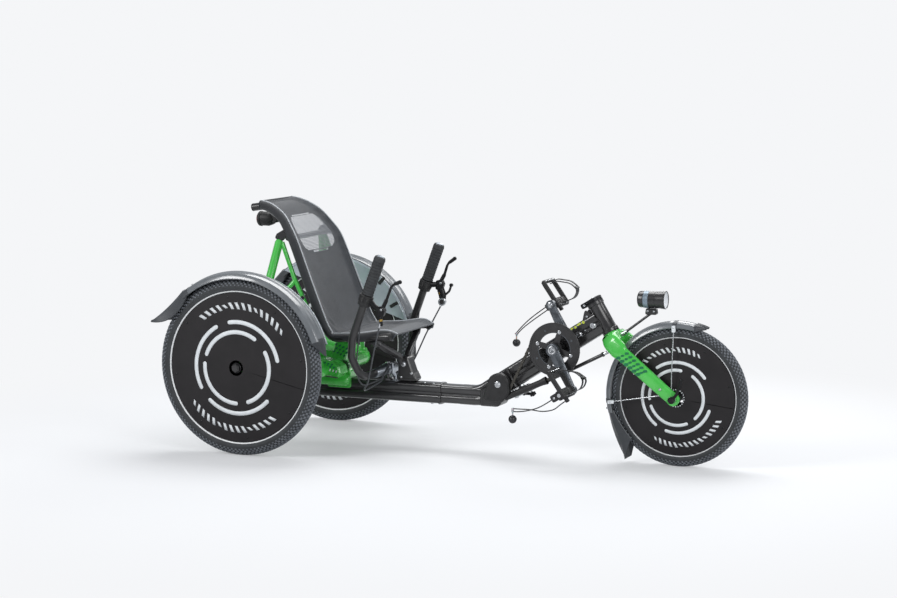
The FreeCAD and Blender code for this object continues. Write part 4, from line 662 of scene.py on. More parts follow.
# ------------------------------------------------------------------ elbow and chain case
# Cast and machined aluminium elbow that clamps the beam to the boom, with a moulded teardrop case
# on its right side, in which the chain turns on an idler towards the rear.
ELBOW = at(662, 0, 195)
HEAD_AXIS, HEAD_ACROSS = in_plane(121), in_plane(31)
AXIS_FOOT = FRONT_AXLE - HEAD_ACROSS * 82.5
HEAD_FOOT = AXIS_FOOT + HEAD_AXIS * 244.95
BOOM_END = HEAD_FOOT + HEAD_AXIS * 37.6
BOOM = (BOOM_END - ELBOW).normalized()
BOOM_UP = Vector((-BOOM.z, 0, BOOM.x))
CRANK = ELBOW + BOOM * 215
BELL = ELBOW + (BOOM * 52 - BOOM_UP * 42)

work = Work("elbow_casting", POWDER_BLACK, BRIGHT_STEEL, BEAM_BLACK)
# the slide itself is bent up into the boom: its top sweeps through one long arc behind the casting
rows = []
sweep = bent([at(546, 0, 160), at(608.4, 0, 160), ELBOW + BOOM * 66], 205, 20)
for index, (point, run) in enumerate(zip(sweep, runs(sweep))):
    share = index / (len(sweep) - 1)
    rows.append([point + SIDEWAYS * x * (1.01 - 0.1 * share) + run.cross(SIDEWAYS) * -z * (1.02 + 0.14 * share)
                 for x, z in two_lobed(*SLIDE_HALF)])
work.skin(rows, 2)
ends = [BOOM * reach + BOOM_UP * rise for reach, rise in ((10, -33), (50, -33), (54, 28))]
corners = [(-52, -60), (6, -60)] + [(end.x, end.z) for end in ends] + [(-4, 20), (-28, 2), (-52, -14)]
work.plate(rounded_outline(corners, [5, 16, 10, 4, 4, 22, 18, 5]), ELBOW, 62, 3)
for hand in HANDS:
    work.plate(rounded_outline([(-44, -56), (0, -56), (14, -26), (-18, 8), (-42, -12)], 8),
               ELBOW + SIDEWAYS * hand * 31, 3, 1.2)
for x, z in ((618, 148), (618, 178), (640, 145)):
    work.bolt(at(x, 31, z), SIDEWAYS, 4.6, 3, 1, 7)
for reach, rise in ((22, 20), (42, 20), (22, -20), (42, -20)):
    work.bolt(ELBOW + (BOOM * reach + BOOM_UP * rise) + SIDEWAYS * 31, SIDEWAYS, 4.2, 2.8, 1)
work.piece("frame", "elbow", angle=40)

CASE = ELBOW + Vector((16, -52, 9))
work = Work("idler_case", NYLON, BRIGHT_STEEL, ANODISED)
case = [(32 * in_plane(turn).x, 32 * in_plane(turn).z) for turn in range(-10, 171, 6)]
case = rounded_outline(case + [(-45, -38), (-39, -49), (13, -49), (34, -22)], 8, 3)
work.plate(case, CASE - SIDEWAYS * 3.5, 19, 2.4)
work.plate([(x * 0.9, z * 0.9) for x, z in case], CASE - SIDEWAYS * 13, 2.4, 0.9)
work.turn([(-26, 20), (8, 20)], CASE + SIDEWAYS * 12, SIDEWAYS, 36, 2)
work.bolt(CASE + Vector((0, -14.2, 1)), -SIDEWAYS, 6.6, 3, 1, 9)
for x in (-34, 6):
    work.bolt(CASE + Vector((x * 0.86, -13.8, -44 * 0.86)), -SIDEWAYS, 2.2, 1.0, 2)
work.piece("frame", "idler_case", angle=40, slot="black_plastic")

# ------------------------------------------------------------------ boom and head tube
# Anodised boom extrusion with a slot along each flank for the slide bolts, mitred and welded to
# the head tube, which carries two pressed bearing cups and a gusset plate.
BOOM_HALF = (21, 31)
work = Work("boom", BEAM_BLACK, BRIGHT_STEEL, NYLON)
boom_start = ELBOW + BOOM * 10
extrusion(work, boom_start, BOOM, (BOOM_END - boom_start).length - 12, boom_section(*BOOM_HALF), 2)
# flank bolts: place, head radius and height, washer radius
for hand in HANDS:
    for x, z, head, tall, washer in ((899, 352, 7.4, 5, 9.6), (940, 378.5, 7.4, 5, 9.6), (917, 364, 2.4, 2, 0),
                                     (770, 268, 5, 4, 7)):
        work.bolt(at(x, hand * 15.6, z), SIDEWAYS * hand, head, tall, 1, washer)
work.turn([(-8, 5), (16, 5)], BELL, HEAD_AXIS, 20, 1)
work.bolt(BELL - HEAD_AXIS * 7, -HEAD_AXIS, 8.6, 4, 1)
work.turn([(6.3, 9), (12.3, 9)], BELL, HEAD_AXIS, 24, 1)
work.piece("frame", "front_boom", angle=34)

# Yellow-green printed film: plain short bars under a clear coat
YELLOW_FILM = mottled("yellow_green_film", "#B9C63F", "#D3DE5F", 12, (0.36, 0.44))
work = Work("boom_stickers", YELLOW_FILM)
for index, (begin, length) in enumerate(((257, 8), (269, 12), (285, 6), (295, 13), (312, 7))):
    for hand in HANDS:
        rise, tall = (26, 2.6) if index % 2 else (24, 3.8)
        centre = ELBOW + BOOM * (begin + length / 2) + BOOM_UP * rise + SIDEWAYS * hand * (BOOM_HALF[0] + 0.15)
        work.plate(oblong(length / 2, tall, 2), centre, 0.3, 0.08, along=BOOM)
work.piece("frame", angle=32, slot=None)

work = Work("bottom_bracket", ANODISED)
work.turn(mirrored([(36, 9), (36, 19.4), (34.6, 21), (28, 21), (27.4, 20.2)]), CRANK, SIDEWAYS, 48, loop=True)
for hand in HANDS:
    for index in range(16):
        work.turn([(29, 1.2), (34, 1.2)], CRANK + in_plane(22.5 * index) * 21.2, SIDEWAYS * hand, 8)
work.piece("frame", "bottom_bracket", angle=32)

work = Work("head_tube", POWDER_BLACK, BRIGHT_STEEL)
cup = [(47, 15.3), (47, 22), (46, 24), (38, 24), (37, 22.4), (33, 21.4)]
work.turn(mirrored(cup), HEAD_FOOT + HEAD_AXIS * 47, HEAD_AXIS, 56, loop=True)
low = BOOM_END - BOOM * 14
for hand in HANDS:
    gusset = rounded_outline([(-58, 20), (-2, 20), (-14, 52), (-24, 44), (-36, 31)], 6)
    work.plate(gusset, low + SIDEWAYS * hand * 14, 5, 1, along=BOOM)
    work.bolt(low - BOOM * 20 + BOOM_UP * 33 + SIDEWAYS * hand * 16.4, SIDEWAYS * hand, 3.4, 2.2, 1)
weld = []
for c, s in circle(40) + [(1, 0)]:
    reach = math.sqrt(21.6 ** 2 - (c * 20.5) ** 2)
    weld.append(BOOM_END + SIDEWAYS * c * 20.5 + BOOM_UP * s * 31
                - BOOM * (reach + 1) / max(0.5, abs(BOOM.dot(HEAD_ACROSS))))
work.tube(weld, [2.3 if k % 2 else 2.7 for k in range(41)], 8)
work.piece("frame", "head_tube", angle=40)

# ------------------------------------------------------------------ rear yoke and seat stays
# Bent steel tube that carries both rear wheels, clamped over the sleeve by a saddle with a tall
# riser for the gear shaft, and the two struts behind the seat; gloss green powder coat.

# Gloss green powder coat: a bright leaf green under a clear layer, faint orange peel
GREEN = mottled("gloss_green_powder_coat", "#3BB63E", "#50C552", 70, (0.24, 0.3), 0.05, 2.6,
                shader={"Coat Weight": 0.8, "Coat Roughness": 0.05})
# Dark teal film of the small printed spots: satin
TEAL_FILM = mottled("teal_spot_film", "#08603A", "#0F7E50", 9, (0.3, 0.4))
work = Work("rear_yoke", GREEN, POWDER_BLACK, BRIGHT_STEEL, TEAL_FILM, ANODISED, WHITE_VINYL)
half_yoke = [(0, 257, 250), (82.5, 243, 238), (165, 162, 226)]
work.tube(bent([at(x, -y, z) for x, y, z in half_yoke] + [at(*end) for end in reversed(half_yoke)], 60, 10),
          21, 28)
for hand in HANDS:
    work.turn([(233, 22), (235, 24), (255, 24), (279, 24), (280, 22)], REAR_AXLE, SIDEWAYS * hand, 40)
    work.tube([at(10, hand * 244, 250), at(40, hand * 243, 246)], [26, 22.5], 28)
# saddle over the sleeve: a block with broad rounded shoulders
saddle = rounded_outline([(-38, -2), (38, -2), (38, 22), (20, 37), (-20, 37), (-38, 22)],
                         [3, 3, 10, 12, 12, 10])
work.plate(saddle, at(171, 0, BEAM_TOP + 1.6), 64, 3)
for hand in HANDS:
    # a bolted cheek on each side of the sleeve, with the casting's rounded foot along it
    work.plate(rounded_outline([(-38, -16), (38, -16), (38, 24), (14, 30), (-30, 26)], 7),
               at(171, hand * 30.4, 178), 6, 1.2)
    work.tube([at(x, hand * 46, z) for x, z in ((108, 188), (112, 188), (202, 186), (210, 185), (214, 184))],
              [11, 17, 17, 14, 8], 24)
    # cast web from the saddle out along the tube
    work.plate(rounded_outline([(-32, -24), (30, -20), (34, 4), (6, 22), (-30, 12)], 8),
               at(165, hand * 40, 226), 26, 5)
# riser with its gear shaft bearing
RISER, RISER_HALF, riser_across, riser_up = at(173, 0, 266), 28, in_plane(-20), in_plane(70)
riser = rounded_outline([(-23, -40), (23, -40), (23, 26), (14, 33), (-20, 33), (-23, 22)], [3, 3, 10, 6, 6, 4])
work.plate(riser, RISER, 2 * RISER_HALF, 4, along=riser_across)
lug = rounded_outline([(-24, -20), (150, -34), (152, 6), (0, 26), (-24, 10)], 14)
lug_eye = at(0, 17, 250)
work.plate(lug, lug_eye, 9, 1.6)
work.turn([(-8, 22), (-8, 26), (-6, 28), (4, 28), (4, 22)], lug_eye, SIDEWAYS, 40)
# bearing flange, a black disc in its bore as painted shade of the opening, and two screws on the right flank of
# the saddle
work.turn([(0, 18), (3, 17), (3.4, 13), (0.4, 12.4), (0.2, 1)], at(198, -53, 229), -SIDEWAYS, 36, 2)
work.turn([(0, 12), (1.2, 12)], at(198, -53.4, 229), -SIDEWAYS, 30, 1)
for x, z in ((150, 236), (180, 210)):
    work.bolt(at(x, -53.2, z), -SIDEWAYS, 4, 2.6, 2)
# printed spots on the riser: slanted rows of small rounded bars; thickness, edge and finish of each
SPOT_PROUD, SPOT_FILM = 0.1, (0.7, 0.1, 3)
for index in range(12):
    lane, rank = index % 4, index // 4
    place = RISER + riser_across * (11.5 * lane - 17 + 4 * (rank % 2)) + riser_up * (11 * rank - 6)
    work.plate(oblong(4.4, 2.4, 2), place - SIDEWAYS * (RISER_HALF + SPOT_PROUD), *SPOT_FILM,
               along=in_plane(30))
# cast shroud round the tube, with a black line under it as painted shade of the gap below it, a row of white
# dashes and printed spots
shroud = rounded_outline([(-34, -18), (28, -26), (38, -14), (32, 8), (8, 22), (-34, 28)], 7)
SHROUD_HALF, SHROUD_MIDDLE = 28, -101
work.plate(shroud, at(184, SHROUD_MIDDLE, 230), 2 * SHROUD_HALF, 5)
shroud_face = SHROUD_MIDDLE - SHROUD_HALF - SPOT_PROUD
# black line along the foot of the shroud: painted shade of the gap under it
work.tube([at(152, -128, 211), at(180, -129.4, 208), at(214, -128, 205)], 1.5, 8, 1)
for index in range(6):
    work.plate(oblong(1.8, 3.6, 0.8), at(161 + 9.6 * index, shroud_face, 233 - 2 * index), 0.7, 0.1, 5,
               along=in_plane(-24))
for index in range(9):
    lane, rank = index % 5, index // 5
    work.plate(oblong(3.8, 2.3, 2), at(158 + 11 * lane + 5 * rank, shroud_face, 242.5 - 2 * lane + 6 * rank),
               *SPOT_FILM, along=in_plane(34))
for index in range(9):
    outward = in_plane(150 - 26 * (index % 3))
    work.plate(oblong(4, 2, 1.7), at(165, -74 - 17 * (index // 3), 226) + outward * 21, 0.5, 0.1, 3,
               along=SIDEWAYS, face=outward)
# black wheel end on the right side
work.turn([(279, 14), (282, 15), (296, 9), (346, 8)], REAR_AXLE, -SIDEWAYS, 32, 1)
work.turn([(340, 12.4), (343.6, 12.4), (345, 11), (345, 5), (342, 4)], REAR_AXLE, -SIDEWAYS, 6, 1)
work.piece("frame", "rear_yoke", slot="green_paint")


def toothed_ring(work, centre, teeth, tip, root, bore, thickness):
    """Sprocket: rounded teeth round a disc with a bore, standing across the middle plane."""
    rows = []
    for depth, size in ((-1, 0), (-1, 0.97), (-0.4, 1), (0.4, 1), (1, 0.97), (1, 0)):
        row = []
        for step, (c, s) in enumerate(circle(teeth * 6)):
            wave = 0.5 + 0.5 * math.cos(2 * math.pi * step / 6)
            reach = (root + (tip - root) * wave ** 0.8) * size if size else bore
            row.append(centre + (FORWARD * c + UP * s) * reach + SIDEWAYS * depth * thickness / 2)
        rows.append(row)
    work.skin(rows, caps=False, loop=True)


work = Work("rear_axle", BRIGHT_STEEL, ANODISED)
work.turn([(-20, 6), (-19, 7.4), (338, 7.4), (341, 6.4)], REAR_AXLE, SIDEWAYS, 24)
work.turn([(336, 11), (341, 11)], REAR_AXLE, SIDEWAYS, 6)
toothed_ring(work, REAR_AXLE, 20, 43, 36.4, 22, 3.6)
work.turn([(-9, 20), (-2, 23), (2, 23), (8, 20)], REAR_AXLE, SIDEWAYS, 36, 1)
work.piece("rear_wheel_left", "rear_axle", slot="bright_metal")

for side, hand in SIDES:
    work = Work("seat_stays_" + side, GREEN, POWDER_BLACK)
    top, foot = at(38, hand * 139, 594), at(-6, hand * 249, 265)
    work.tube([top, top.lerp(foot, 0.02), foot], [9, 12, 12], 24)
    stay = [at(x, hand * y, z) for x, y, z in ((46, 139, 588), (86, 143, 487), (148, 148, 366),
                                               (165, 150, 241))]
    work.tube(bent(stay, 60), 6.5, 20)
    work.tube(bent([at(88, hand * 143, 480), at(40, hand * 168, 420), foot.lerp(top, 0.27)], 30), 6.5, 20)
    # lug that bolts the strut's head to the rail
    lug, lug_half, across, lift = at(45, hand * 139, 611), 6, in_plane(-22), in_plane(68)
    work.plate(rounded_outline([(-15, -19), (9, -17), (16, 0), (15, 17), (3, 17), (-14, -4)], 5),
               lug, 2 * lug_half, 1.6, 1, along=across)
    for reach, rise in ((-8, -12), (9, 9)):
        for face in (hand, -hand):
            work.bolt(lug + SIDEWAYS * face * lug_half + (across * reach + lift * rise), SIDEWAYS * face,
                      3.6, 2.4, 1)
    work.turn([(0, 13), (3, 13.6), (14, 11)], at(165, hand * 150, 240), UP, 24)
    work.piece("frame", "seat_stays_" + side, slot="green_paint")

# ------------------------------------------------------------------ rear mudguards
# Moulded grey plastic guards with a crease along the crown and a darker flap riveted to the
# rear end; each hangs on the wheel carrier by its inner panel and a strap.

# Grey guard plastic: satin, slightly mottled
GUARD_GREY = mottled("grey_guard_plastic", "#5E6266", "#72767A", 60, (0.24, 0.34), 0.12, 1.6,
                     shader={"Coat Weight": 0.9, "Coat Roughness": 0.12})
# Darker flap plastic: the same material, duller
FLAP_GREY = mottled("dark_flap_plastic", "#33363A", "#44474B", 50, (0.36, 0.5), 0.15, 1.6)
# Blue-grey sheet of the inner panels: glossy
PANEL_SHEET = mottled("blue_grey_panel_sheet", "#A6B0BA", "#CBD3DA", 110, (0.12, 0.2), 0.3, 60,
                      shader={"Coat Weight": 0.6, "Coat Roughness": 0.06})
GUARD_WALL = 2.6
# Half section of a guard from its crown: share of the half width, height above the shoulder
GUARD_SECTION = [(0, 1.9), (0.14, 0.6), (0.35, 0), (0.56, -1.0), (0.8, -3.2), (0.93, -7.4), (1, -12)]


def two_sided(half):
    """Whole section of a guard or flap from its crown outwards, mirrored to the other side."""
    return [(-x, z) for x, z in reversed(half[1:])] + half


def guard(work, axle, hand, inner, half, begin, end, deep=1.0, steps=72, spread=None, finish=0):
    """Mudguard between two angles: a domed section with a centre crease and side walls; its begin
    end runs out to a point where spread says how fast it widens."""
    rows = []
    for step in range(steps + 1):
        outward = in_plane(begin + (end - begin) * step / steps)
        share = 0.06 + 0.94 * min(1, step / steps * spread) if spread else 1.0
        centre, wide = axle + SIDEWAYS * hand, half * share
        section = [(x, z * deep * share if z < 0 else z) for x, z in two_sided(GUARD_SECTION)]
        rows.append([centre + SIDEWAYS * x * wide + outward * (inner + z + 3) for x, z in section]
                    + [centre + SIDEWAYS * x * (wide - GUARD_WALL * 0.7)
                       + outward * (inner + z + 3 - GUARD_WALL) for x, z in reversed(section)])
    work.skin(rows, finish)


def flap(work, axle, hand, start, bend, tip, steps, widths, wall, shoulder, droop):
    """Flap along a bent line below a guard's rear end; droop gives the depth of its side walls."""
    rows = []
    for step in range(steps + 1):
        share = step / steps
        spot = start * (1 - share) ** 2 + bend * 2 * share * (1 - share) + tip * share ** 2
        slope = ((bend - start) * 2 * (1 - share) + (tip - bend) * 2 * share).normalized()
        normal, half = Vector((slope.z, 0, -slope.x)), widths[0] + widths[1] * share
        section = two_sided([(0, 1), (0.35, 0), (0.8, -droop(share) * shoulder), (1, -droop(share))])
        centre = axle + SIDEWAYS * hand + spot
        rows.append([centre + SIDEWAYS * x * half + normal * z for x, z in section]
                    + [centre + SIDEWAYS * x * (half - wall) + normal * (z - wall - 1)
                       for x, z in reversed(section)])
    work.skin(rows, 1)


REAR_GUARD = 266
for side, hand in SIDES:
    work = Work("rear_mudguard_" + side, GUARD_GREY, FLAP_GREY, BRIGHT_STEEL)
    middle = 310 * hand
    guard(work, REAR_AXLE, middle, REAR_GUARD, 32, 19, 131, 1.4)
    # dark pointed end piece at the front, and the joint of the flap at the back
    guard(work, REAR_AXLE, middle, REAR_GUARD + 0.6, 32.4, 9.5, 20.5, 1.9, 14, 1.15, 1)
    guard(work, REAR_AXLE, middle, REAR_GUARD + 1.2, 33, 126, 131, 1.6, 6, finish=1)
    flap(work, REAR_AXLE, middle, in_plane(130) * (REAR_GUARD + 8), at(-224, 0, 405) - REAR_AXLE,
         at(-272, 0, 373) - REAR_AXLE, 12, (31, 2.5), 1.6, 0.3,
         lambda share: 26 + 10 * math.sin(math.pi * share) - 21 * share ** 3)
    for x in (-18, 18):
        for degrees, lift, radius, height in ((130, 3.4, 3.4, 1.6), (122, 3, 3, 1.2)):
            out = in_plane(degrees)
            work.bolt(REAR_AXLE + SIDEWAYS * (middle + x) + out * (REAR_GUARD + lift), out, radius, height, 2)
    work.piece("frame", "rear_mudguard_" + side, angle=30, slot="guard_plastic")

    work = Work("guard_panel_" + side, PANEL_SHEET)
    arc = [in_plane(16 + 111 * step / 60) * (REAR_GUARD - 3) for step in range(61)]
    work.plate([(spot.x, spot.z) for spot in arc], at(0, hand * 275.7, 250), 2.6, 0.6)
    work.tube([REAR_AXLE + in_plane(18 + 107 * step / 60) * (REAR_GUARD - 8) + SIDEWAYS * hand * 274.7
               for step in range(61)], 2.0, 10)
    work.piece("frame", "guard_panel_" + side, angle=30, slot="panel_plastic")

work = Work("guard_straps", POWDER_BLACK, BRIGHT_STEEL, NYLON)
along, across = in_plane(102), in_plane(12)
for hand in HANDS:
    strap, inward = at(24, hand * 272.4, 360), SIDEWAYS * -hand
    work.plate(oblong(12, 88, 9), strap, 5.4, 1, along=across)
    for rise in (-62, 6, 68):
        work.plate(oblong(15, 9, 5), strap + inward * 1.4 + along * rise, 6.4, 1.4, 2, along=across)
        work.bolt(strap + inward * 4.6 + along * rise, inward, 4, 1.8, 1)
    for x, z, turn in ((210, 371, 30), (170, 442.5, 48)):
        work.plate(oblong(14, 5, 2), at(x, hand * 272.6, z), 4, 1, 2, along=in_plane(turn))
work.piece("frame", "guard_bars")

# ------------------------------------------------------------------ seat frame
# Two bent aluminium rails and four cross bars in black powder coat, with plugs in the ends.
RAIL = [(-68, 93, 682), (-30, 94.86, 688), (34, 119.04, 658), (84, 145.5, 592), (178, 150, 360),
        (205, 150, 321), (385, 150, 334)]
# Cross bars: forward, height, half length
CROSS_BARS = [(-46, 684, 93), (66, 601, 144), (179, 341, 150), (322, 322, 150)]
work = Work("seat_rails", POWDER_BLACK, NYLON)
for hand in HANDS:
    rail = bent([at(x, hand * y, z) for x, y, z in RAIL], [50, 70, 90, 40, 40])
    work.tube(rail, 11, 24)
    for place, inner in ((rail[0], rail[1]), (rail[-1], rail[-2])):
        work.turn([(-3, 10.4), (0.3, 11.3), (3, 11.0), (4.6, 8), (5, 2)], place, (place - inner).normalized(),
                  28, 1)
for x, z, half in CROSS_BARS:
    work.tube([at(x, -half, z), at(x, half, z)], 7.5, 20)
    for hand in HANDS:
        work.turn([(0, 10), (4, 9), (7, 8)], at(x, hand * (half - 9), z), SIDEWAYS * -hand, 20)
work.piece("frame", "seat_frame")

# ------------------------------------------------------------------ seat cloth
# Woven polyester sleeves laced round the rails: a long back with an open mesh window at the
# headrest and a short base; both are drawn taut from rail to rail and sag a little.


def threads(tree, place, wide, long, wave, joined):
    """Crossing threads: a wave across at wide mm and one along the cloth at long mm, joined."""
    part = add(tree, "SeparateXYZ", {0: place})
    fall = add(tree, "Math", {0: part.outputs["X"], 1: part.outputs["Z"]}, operation="SUBTRACT")
    waves = []
    for reading, spacing in ((part.outputs["Y"], wide), (fall, long)):
        turns = add(tree, "Math", {0: reading, 1: 2 * math.pi / (spacing * MM)}, operation="MULTIPLY")
        waves.append(add(tree, "Math", {0: turns}, operation=wave))
    return add(tree, "Math", {0: waves[0], 1: waves[1]}, operation=joined)


def seat_weave():
    """Charcoal polyester basket weave: matt, slightly fuzzy; threads drawn at 2.4 mm, coarser than real."""
    finish, tree = new_finish("charcoal_seat_weave")
    place = add(tree, "TexCoord").outputs["Object"]
    weave = threads(tree, place, 2.4, 3.0, "SINE", "MULTIPLY")
    drift = add(tree, "TexNoise", {"Vector": place, "Scale": 1 / (45 * MM), "Detail": 5.0, "Roughness": 0.65})
    base = two_shades(tree, drift.outputs["Fac"], "#1E2228", "#2B3037")
    light = add(tree, "MapRange", {"Value": weave, "From Min": -1.0, "To Min": 0.78, "To Max": 1.18})
    shade = add(tree, "VectorMath", {0: base, 1: light}, operation="MULTIPLY")
    bump = add(tree, "Bump", {"Height": weave, "Strength": 0.4, "Distance": 0.35 * MM})
    surface = add(tree, "BsdfPrincipled", {"Base Color": shade, "Roughness": 0.85, "Sheen Weight": 0.24,
                                           "Sheen Roughness": 0.5, "Normal": bump})
    add(tree, "OutputMaterial", {"Surface": surface})
    return finish


def open_mesh():
    """Spacer mesh of the headrest window: grey threads with real holes between, drawn at 4 mm."""
    finish, tree = new_finish("open_headrest_mesh")
    hole = threads(tree, add(tree, "TexCoord").outputs["Object"], 4.2, 5.4, "COSINE", "ADD")
    clear = add(tree, "MapRange", {"Value": hole, "From Min": -0.7, "From Max": 0.3,
                                   "To Min": 0.06, "To Max": 0.92})
    thread = add(tree, "BsdfPrincipled", {"Base Color": linear("#777B81"), "Roughness": 0.8,
                                          "Sheen Weight": 0.3})
    surface = add(tree, "MixShader", {0: clear, 1: thread, 2: add(tree, "BsdfTransparent")})
    add(tree, "OutputMaterial", {"Surface": surface})
    return finish


WEAVE, MESH = seat_weave(), open_mesh()
# Rail sleeves: the same cloth pulled tight and darker with handling
SLEEVE = mottled("dark_rail_sleeve", "#1F2124", "#2B2D31", 14, (0.7, 0.85), 0.3, 2.4,
                 shader={"Sheen Weight": 0.2})
# Lighter grey facing on the front of the base: a paler yarn
PALE_WEAVE = mottled("pale_grey_facing", "#303439", "#42474D", 5, (0.76, 0.86), 0.3, 2.4,
                     shader={"Sheen Weight": 0.22, "Sheen Roughness": 0.5})
# Light grey piping: tight twisted yarn
PIPING = mottled("light_grey_piping", "#A0A4A9", "#C9CDD1", 3, (0.62, 0.75), shader={"Sheen Weight": 0.2})
# Threads across the span and in each wrap round a rail; height of the span over the rail's middle
ACROSS, WRAP, SPAN_RISE = 43, 12, 11.3
# Radius of the wrap and height of the piping over the rail's middle; rows from the bend over which
# the sleeve closes round the rail
WRAP_RADIUS, PIPING_RISE, BEND_ROWS = 12.4, 13.2, 9
# How far the cloth may settle, and how far it is let down in its middle, in mm
SETTLE_MOST, SAG = 5, 5
SETTLE_FRAMES = 20


def smooth_stations(stations):
    """Stations about 7 mm apart, with the corners between them eased."""
    fine = []
    for first, last in zip(stations, stations[1:]):
        count = max(2, round(math.hypot(last[0] - first[0], last[1] - first[1]) / 7))
        fine += [[a + (b - a) * step / count for a, b in zip(first, last)] for step in range(count)]
    fine.append(list(stations[-1]))
    for _ in range(10):
        fine[1:-1] = [[(a + 2 * b + c) / 4 for a, b, c in zip(*three)]
                      for three in zip(fine, fine[1:], fine[2:])]
    return fine


def taut_cloth(name, fine):
    """Rows of points of a sheet woven across the stations, pinned along both rails, settled by a
    cloth simulation and let down in the middle."""
    columns, last = ACROSS - 1, len(fine) - 1
    mesh, cloth = bpy.data.meshes.new(name), bmesh.new()
    grid = [[cloth.verts.new((at(x, (2 * column / columns - 1) * half, z) + in_plane(normal) * SPAN_RISE) * MM)
             for column in range(ACROSS)] for x, z, half, normal in fine]
    for one, two in zip(grid, grid[1:]):
        for column in range(columns):
            cloth.faces.new((one[column], one[column + 1], two[column + 1], two[column]))
    cloth.to_mesh(mesh)
    cloth.free()
    sheet = link(bpy.data.objects.new(name, mesh))
    held = [index for index in range(len(mesh.vertices))
            if index // ACROSS in (0, last) or index % ACROSS in (0, 1, columns - 1, columns)]
    sheet.vertex_groups.new(name="laced_edges").add(held, 1.0, "ADD")
    settle = sheet.modifiers.new("settle", "CLOTH")
    settings = settle.settings
    settings.vertex_group_mass = "laced_edges"
    settings.quality, settings.mass, settings.shrink_min = 6, 0.25, -0.012
    settings.tension_stiffness = settings.compression_stiffness = 30
    settings.shear_stiffness, settings.bending_stiffness = 8, 0.6
    settle.point_cache.frame_end = SETTLE_FRAMES
    for frame_number in range(1, SETTLE_FRAMES + 1):
        bpy.context.scene.frame_set(frame_number)
    settled = sheet.evaluated_get(bpy.context.evaluated_depsgraph_get())
    moved = [vertex.co.copy() for vertex in settled.data.vertices]
    sheet.modifiers.clear()
    for vertex, after in zip(mesh.vertices, moved):
        shift = after - vertex.co
        if shift.length > SETTLE_MOST * MM:
            shift = shift.normalized() * SETTLE_MOST * MM
        vertex.co += shift
    bpy.context.scene.frame_set(1)
    points = []
    for index, vertex in enumerate(mesh.vertices):
        row, column = divmod(index, ACROSS)
        ripple = math.sin(row * 0.34 + 0.7) * 0.6 + math.sin(row * 0.83 + column * 0.21) * 0.35
        firm = min(1.0, row / 9, (last - row) / 5)
        fall = (1 - (2 * column / columns - 1) ** 2) * (SAG - ripple) * firm
        points.append(vertex.co / MM - in_plane(fine[row][3]) * fall)
    bpy.data.objects.remove(sheet)
    return [points[start:start + ACROSS] for start in range(0, len(points), ACROSS)]


def window_half(down, window):
    """Half width of the mesh window at a height, as a share of the cloth's: its corners are rounded."""
    high, low, half = window
    reach = min(1.0, abs(2 * (down - high) / (low - high) - 1))
    return half * (1 - reach ** 4) ** 0.25


def finished_cloth(node, stations, window=None, facing=None):
    """One laced sleeve: the settled sheet carried round both rails, with hems and piping on it."""
    fine = smooth_stations(stations)
    rows = taut_cloth(node + "_settling", fine)
    whole = []
    for index, ((x, z, half, normal), row) in enumerate(zip(fine, rows)):
        # the sleeve is cut away at the bend between back and base, where the rail shows
        near_bend = (len(rows) - 1 - index if facing is None else index) / BEND_ROWS
        sweep = 4 + 13.5 * min(1.0, near_bend) ** 2
        wraps = {}
        for hand in HANDS:
            wraps[hand] = [at(x, hand * half, z) + (SIDEWAYS * hand * math.cos(angle) + in_plane(normal)
                                                    * math.sin(angle)) * WRAP_RADIUS
                           for angle in (math.radians(90 - step * sweep) for step in range(1, WRAP + 1))]
        whole.append(wraps[RIGHT][::-1] + row + wraps[LEFT])
    last = len(whole) - 1
    rim, ends = {RIGHT: [], LEFT: []}, []
    for index, row in enumerate(whole if window else ()):
        # the threads beside the window are drawn on to its rounded edge
        if window[0] <= index / last <= window[1]:
            for hand in HANDS:
                place = WRAP + (1 + hand * window_half(index / last, window)) / 2 * (ACROSS - 1)
                low = min(int(place), len(row) - 2)
                row[round(place)] = row[low].lerp(row[low + 1], place - low)
                rim[hand].append(row[round(place)])
            ends.append([point for point in row if rim[RIGHT][-1].y < point.y < rim[LEFT][-1].y])
    cloth = Work(node + "_cloth", WEAVE, MESH, PALE_WEAVE, SLEEVE)
    for index, face in enumerate(cloth.skin(whole, ring=False)):
        row, column = divmod(index, len(whole[0]) - 1)
        down = (row + 0.5) / last
        share = 2 * (column - WRAP + 0.5) / (ACROSS - 1) - 1
        if window and window[0] <= down <= window[1] and abs(share) < window_half(down, window):
            face.material_index = 1
        if facing and down >= facing:
            face.material_index = 2
        if not WRAP <= column <= WRAP + ACROSS - 2:
            face.material_index = 3
    made = cloth.solidify(cloth.piece("frame", node, angle=60, slot="seat_cloth"), "cloth_thickness", 1.2)
    edging = Work(node + "_edging", PIPING, WEAVE, PALE_WEAVE)
    for hand in HANDS:
        edging.tube([at(x, hand * (half - 1), z) + in_plane(normal) * PIPING_RISE
                     for x, z, half, normal in fine], 2, 8)
    edging.tube(whole[0], 2.2, 8, 1)
    edging.tube(whole[-1], 2.2, 8, 2 if facing else 1)
    if window:
        around = rim[LEFT] + ends[-1][::-1] + rim[RIGHT][::-1] + ends[0]
        edging.tube(around + around[:1], 0.8, 8, 1)
    return made, edging.piece("frame", angle=50, slot="seat_cloth")


# The cuts: width is the widest span plus 45 mm round each rail, length is measured along the rail.
# Stations down each cloth: forward, height, half width, the way it faces in degrees
back_cloth, back_edging = finished_cloth("seat_back", [
    (-42, 689.3, 97, 90), (-20, 687.5, 99, 84), (2, 678, 107, 66), (38, 656, 119, 50), (84, 594, 145, 26),
    (130, 481, 150, 22), (176, 366, 150, 22), (188, 340, 150, 36), (204, 324, 150, 66)],
    window=(0.17, 0.44, 0.74))
base_cloth, base_edging = finished_cloth("seat_base", [
    (212, 322, 150, 88), (232, 323, 150, 92), (300, 328, 150, 93), (342, 336, 148, 97), (366, 341, 142, 90),
    (384, 337, 134, 66), (392, 331, 128, 50)], facing=0.5)

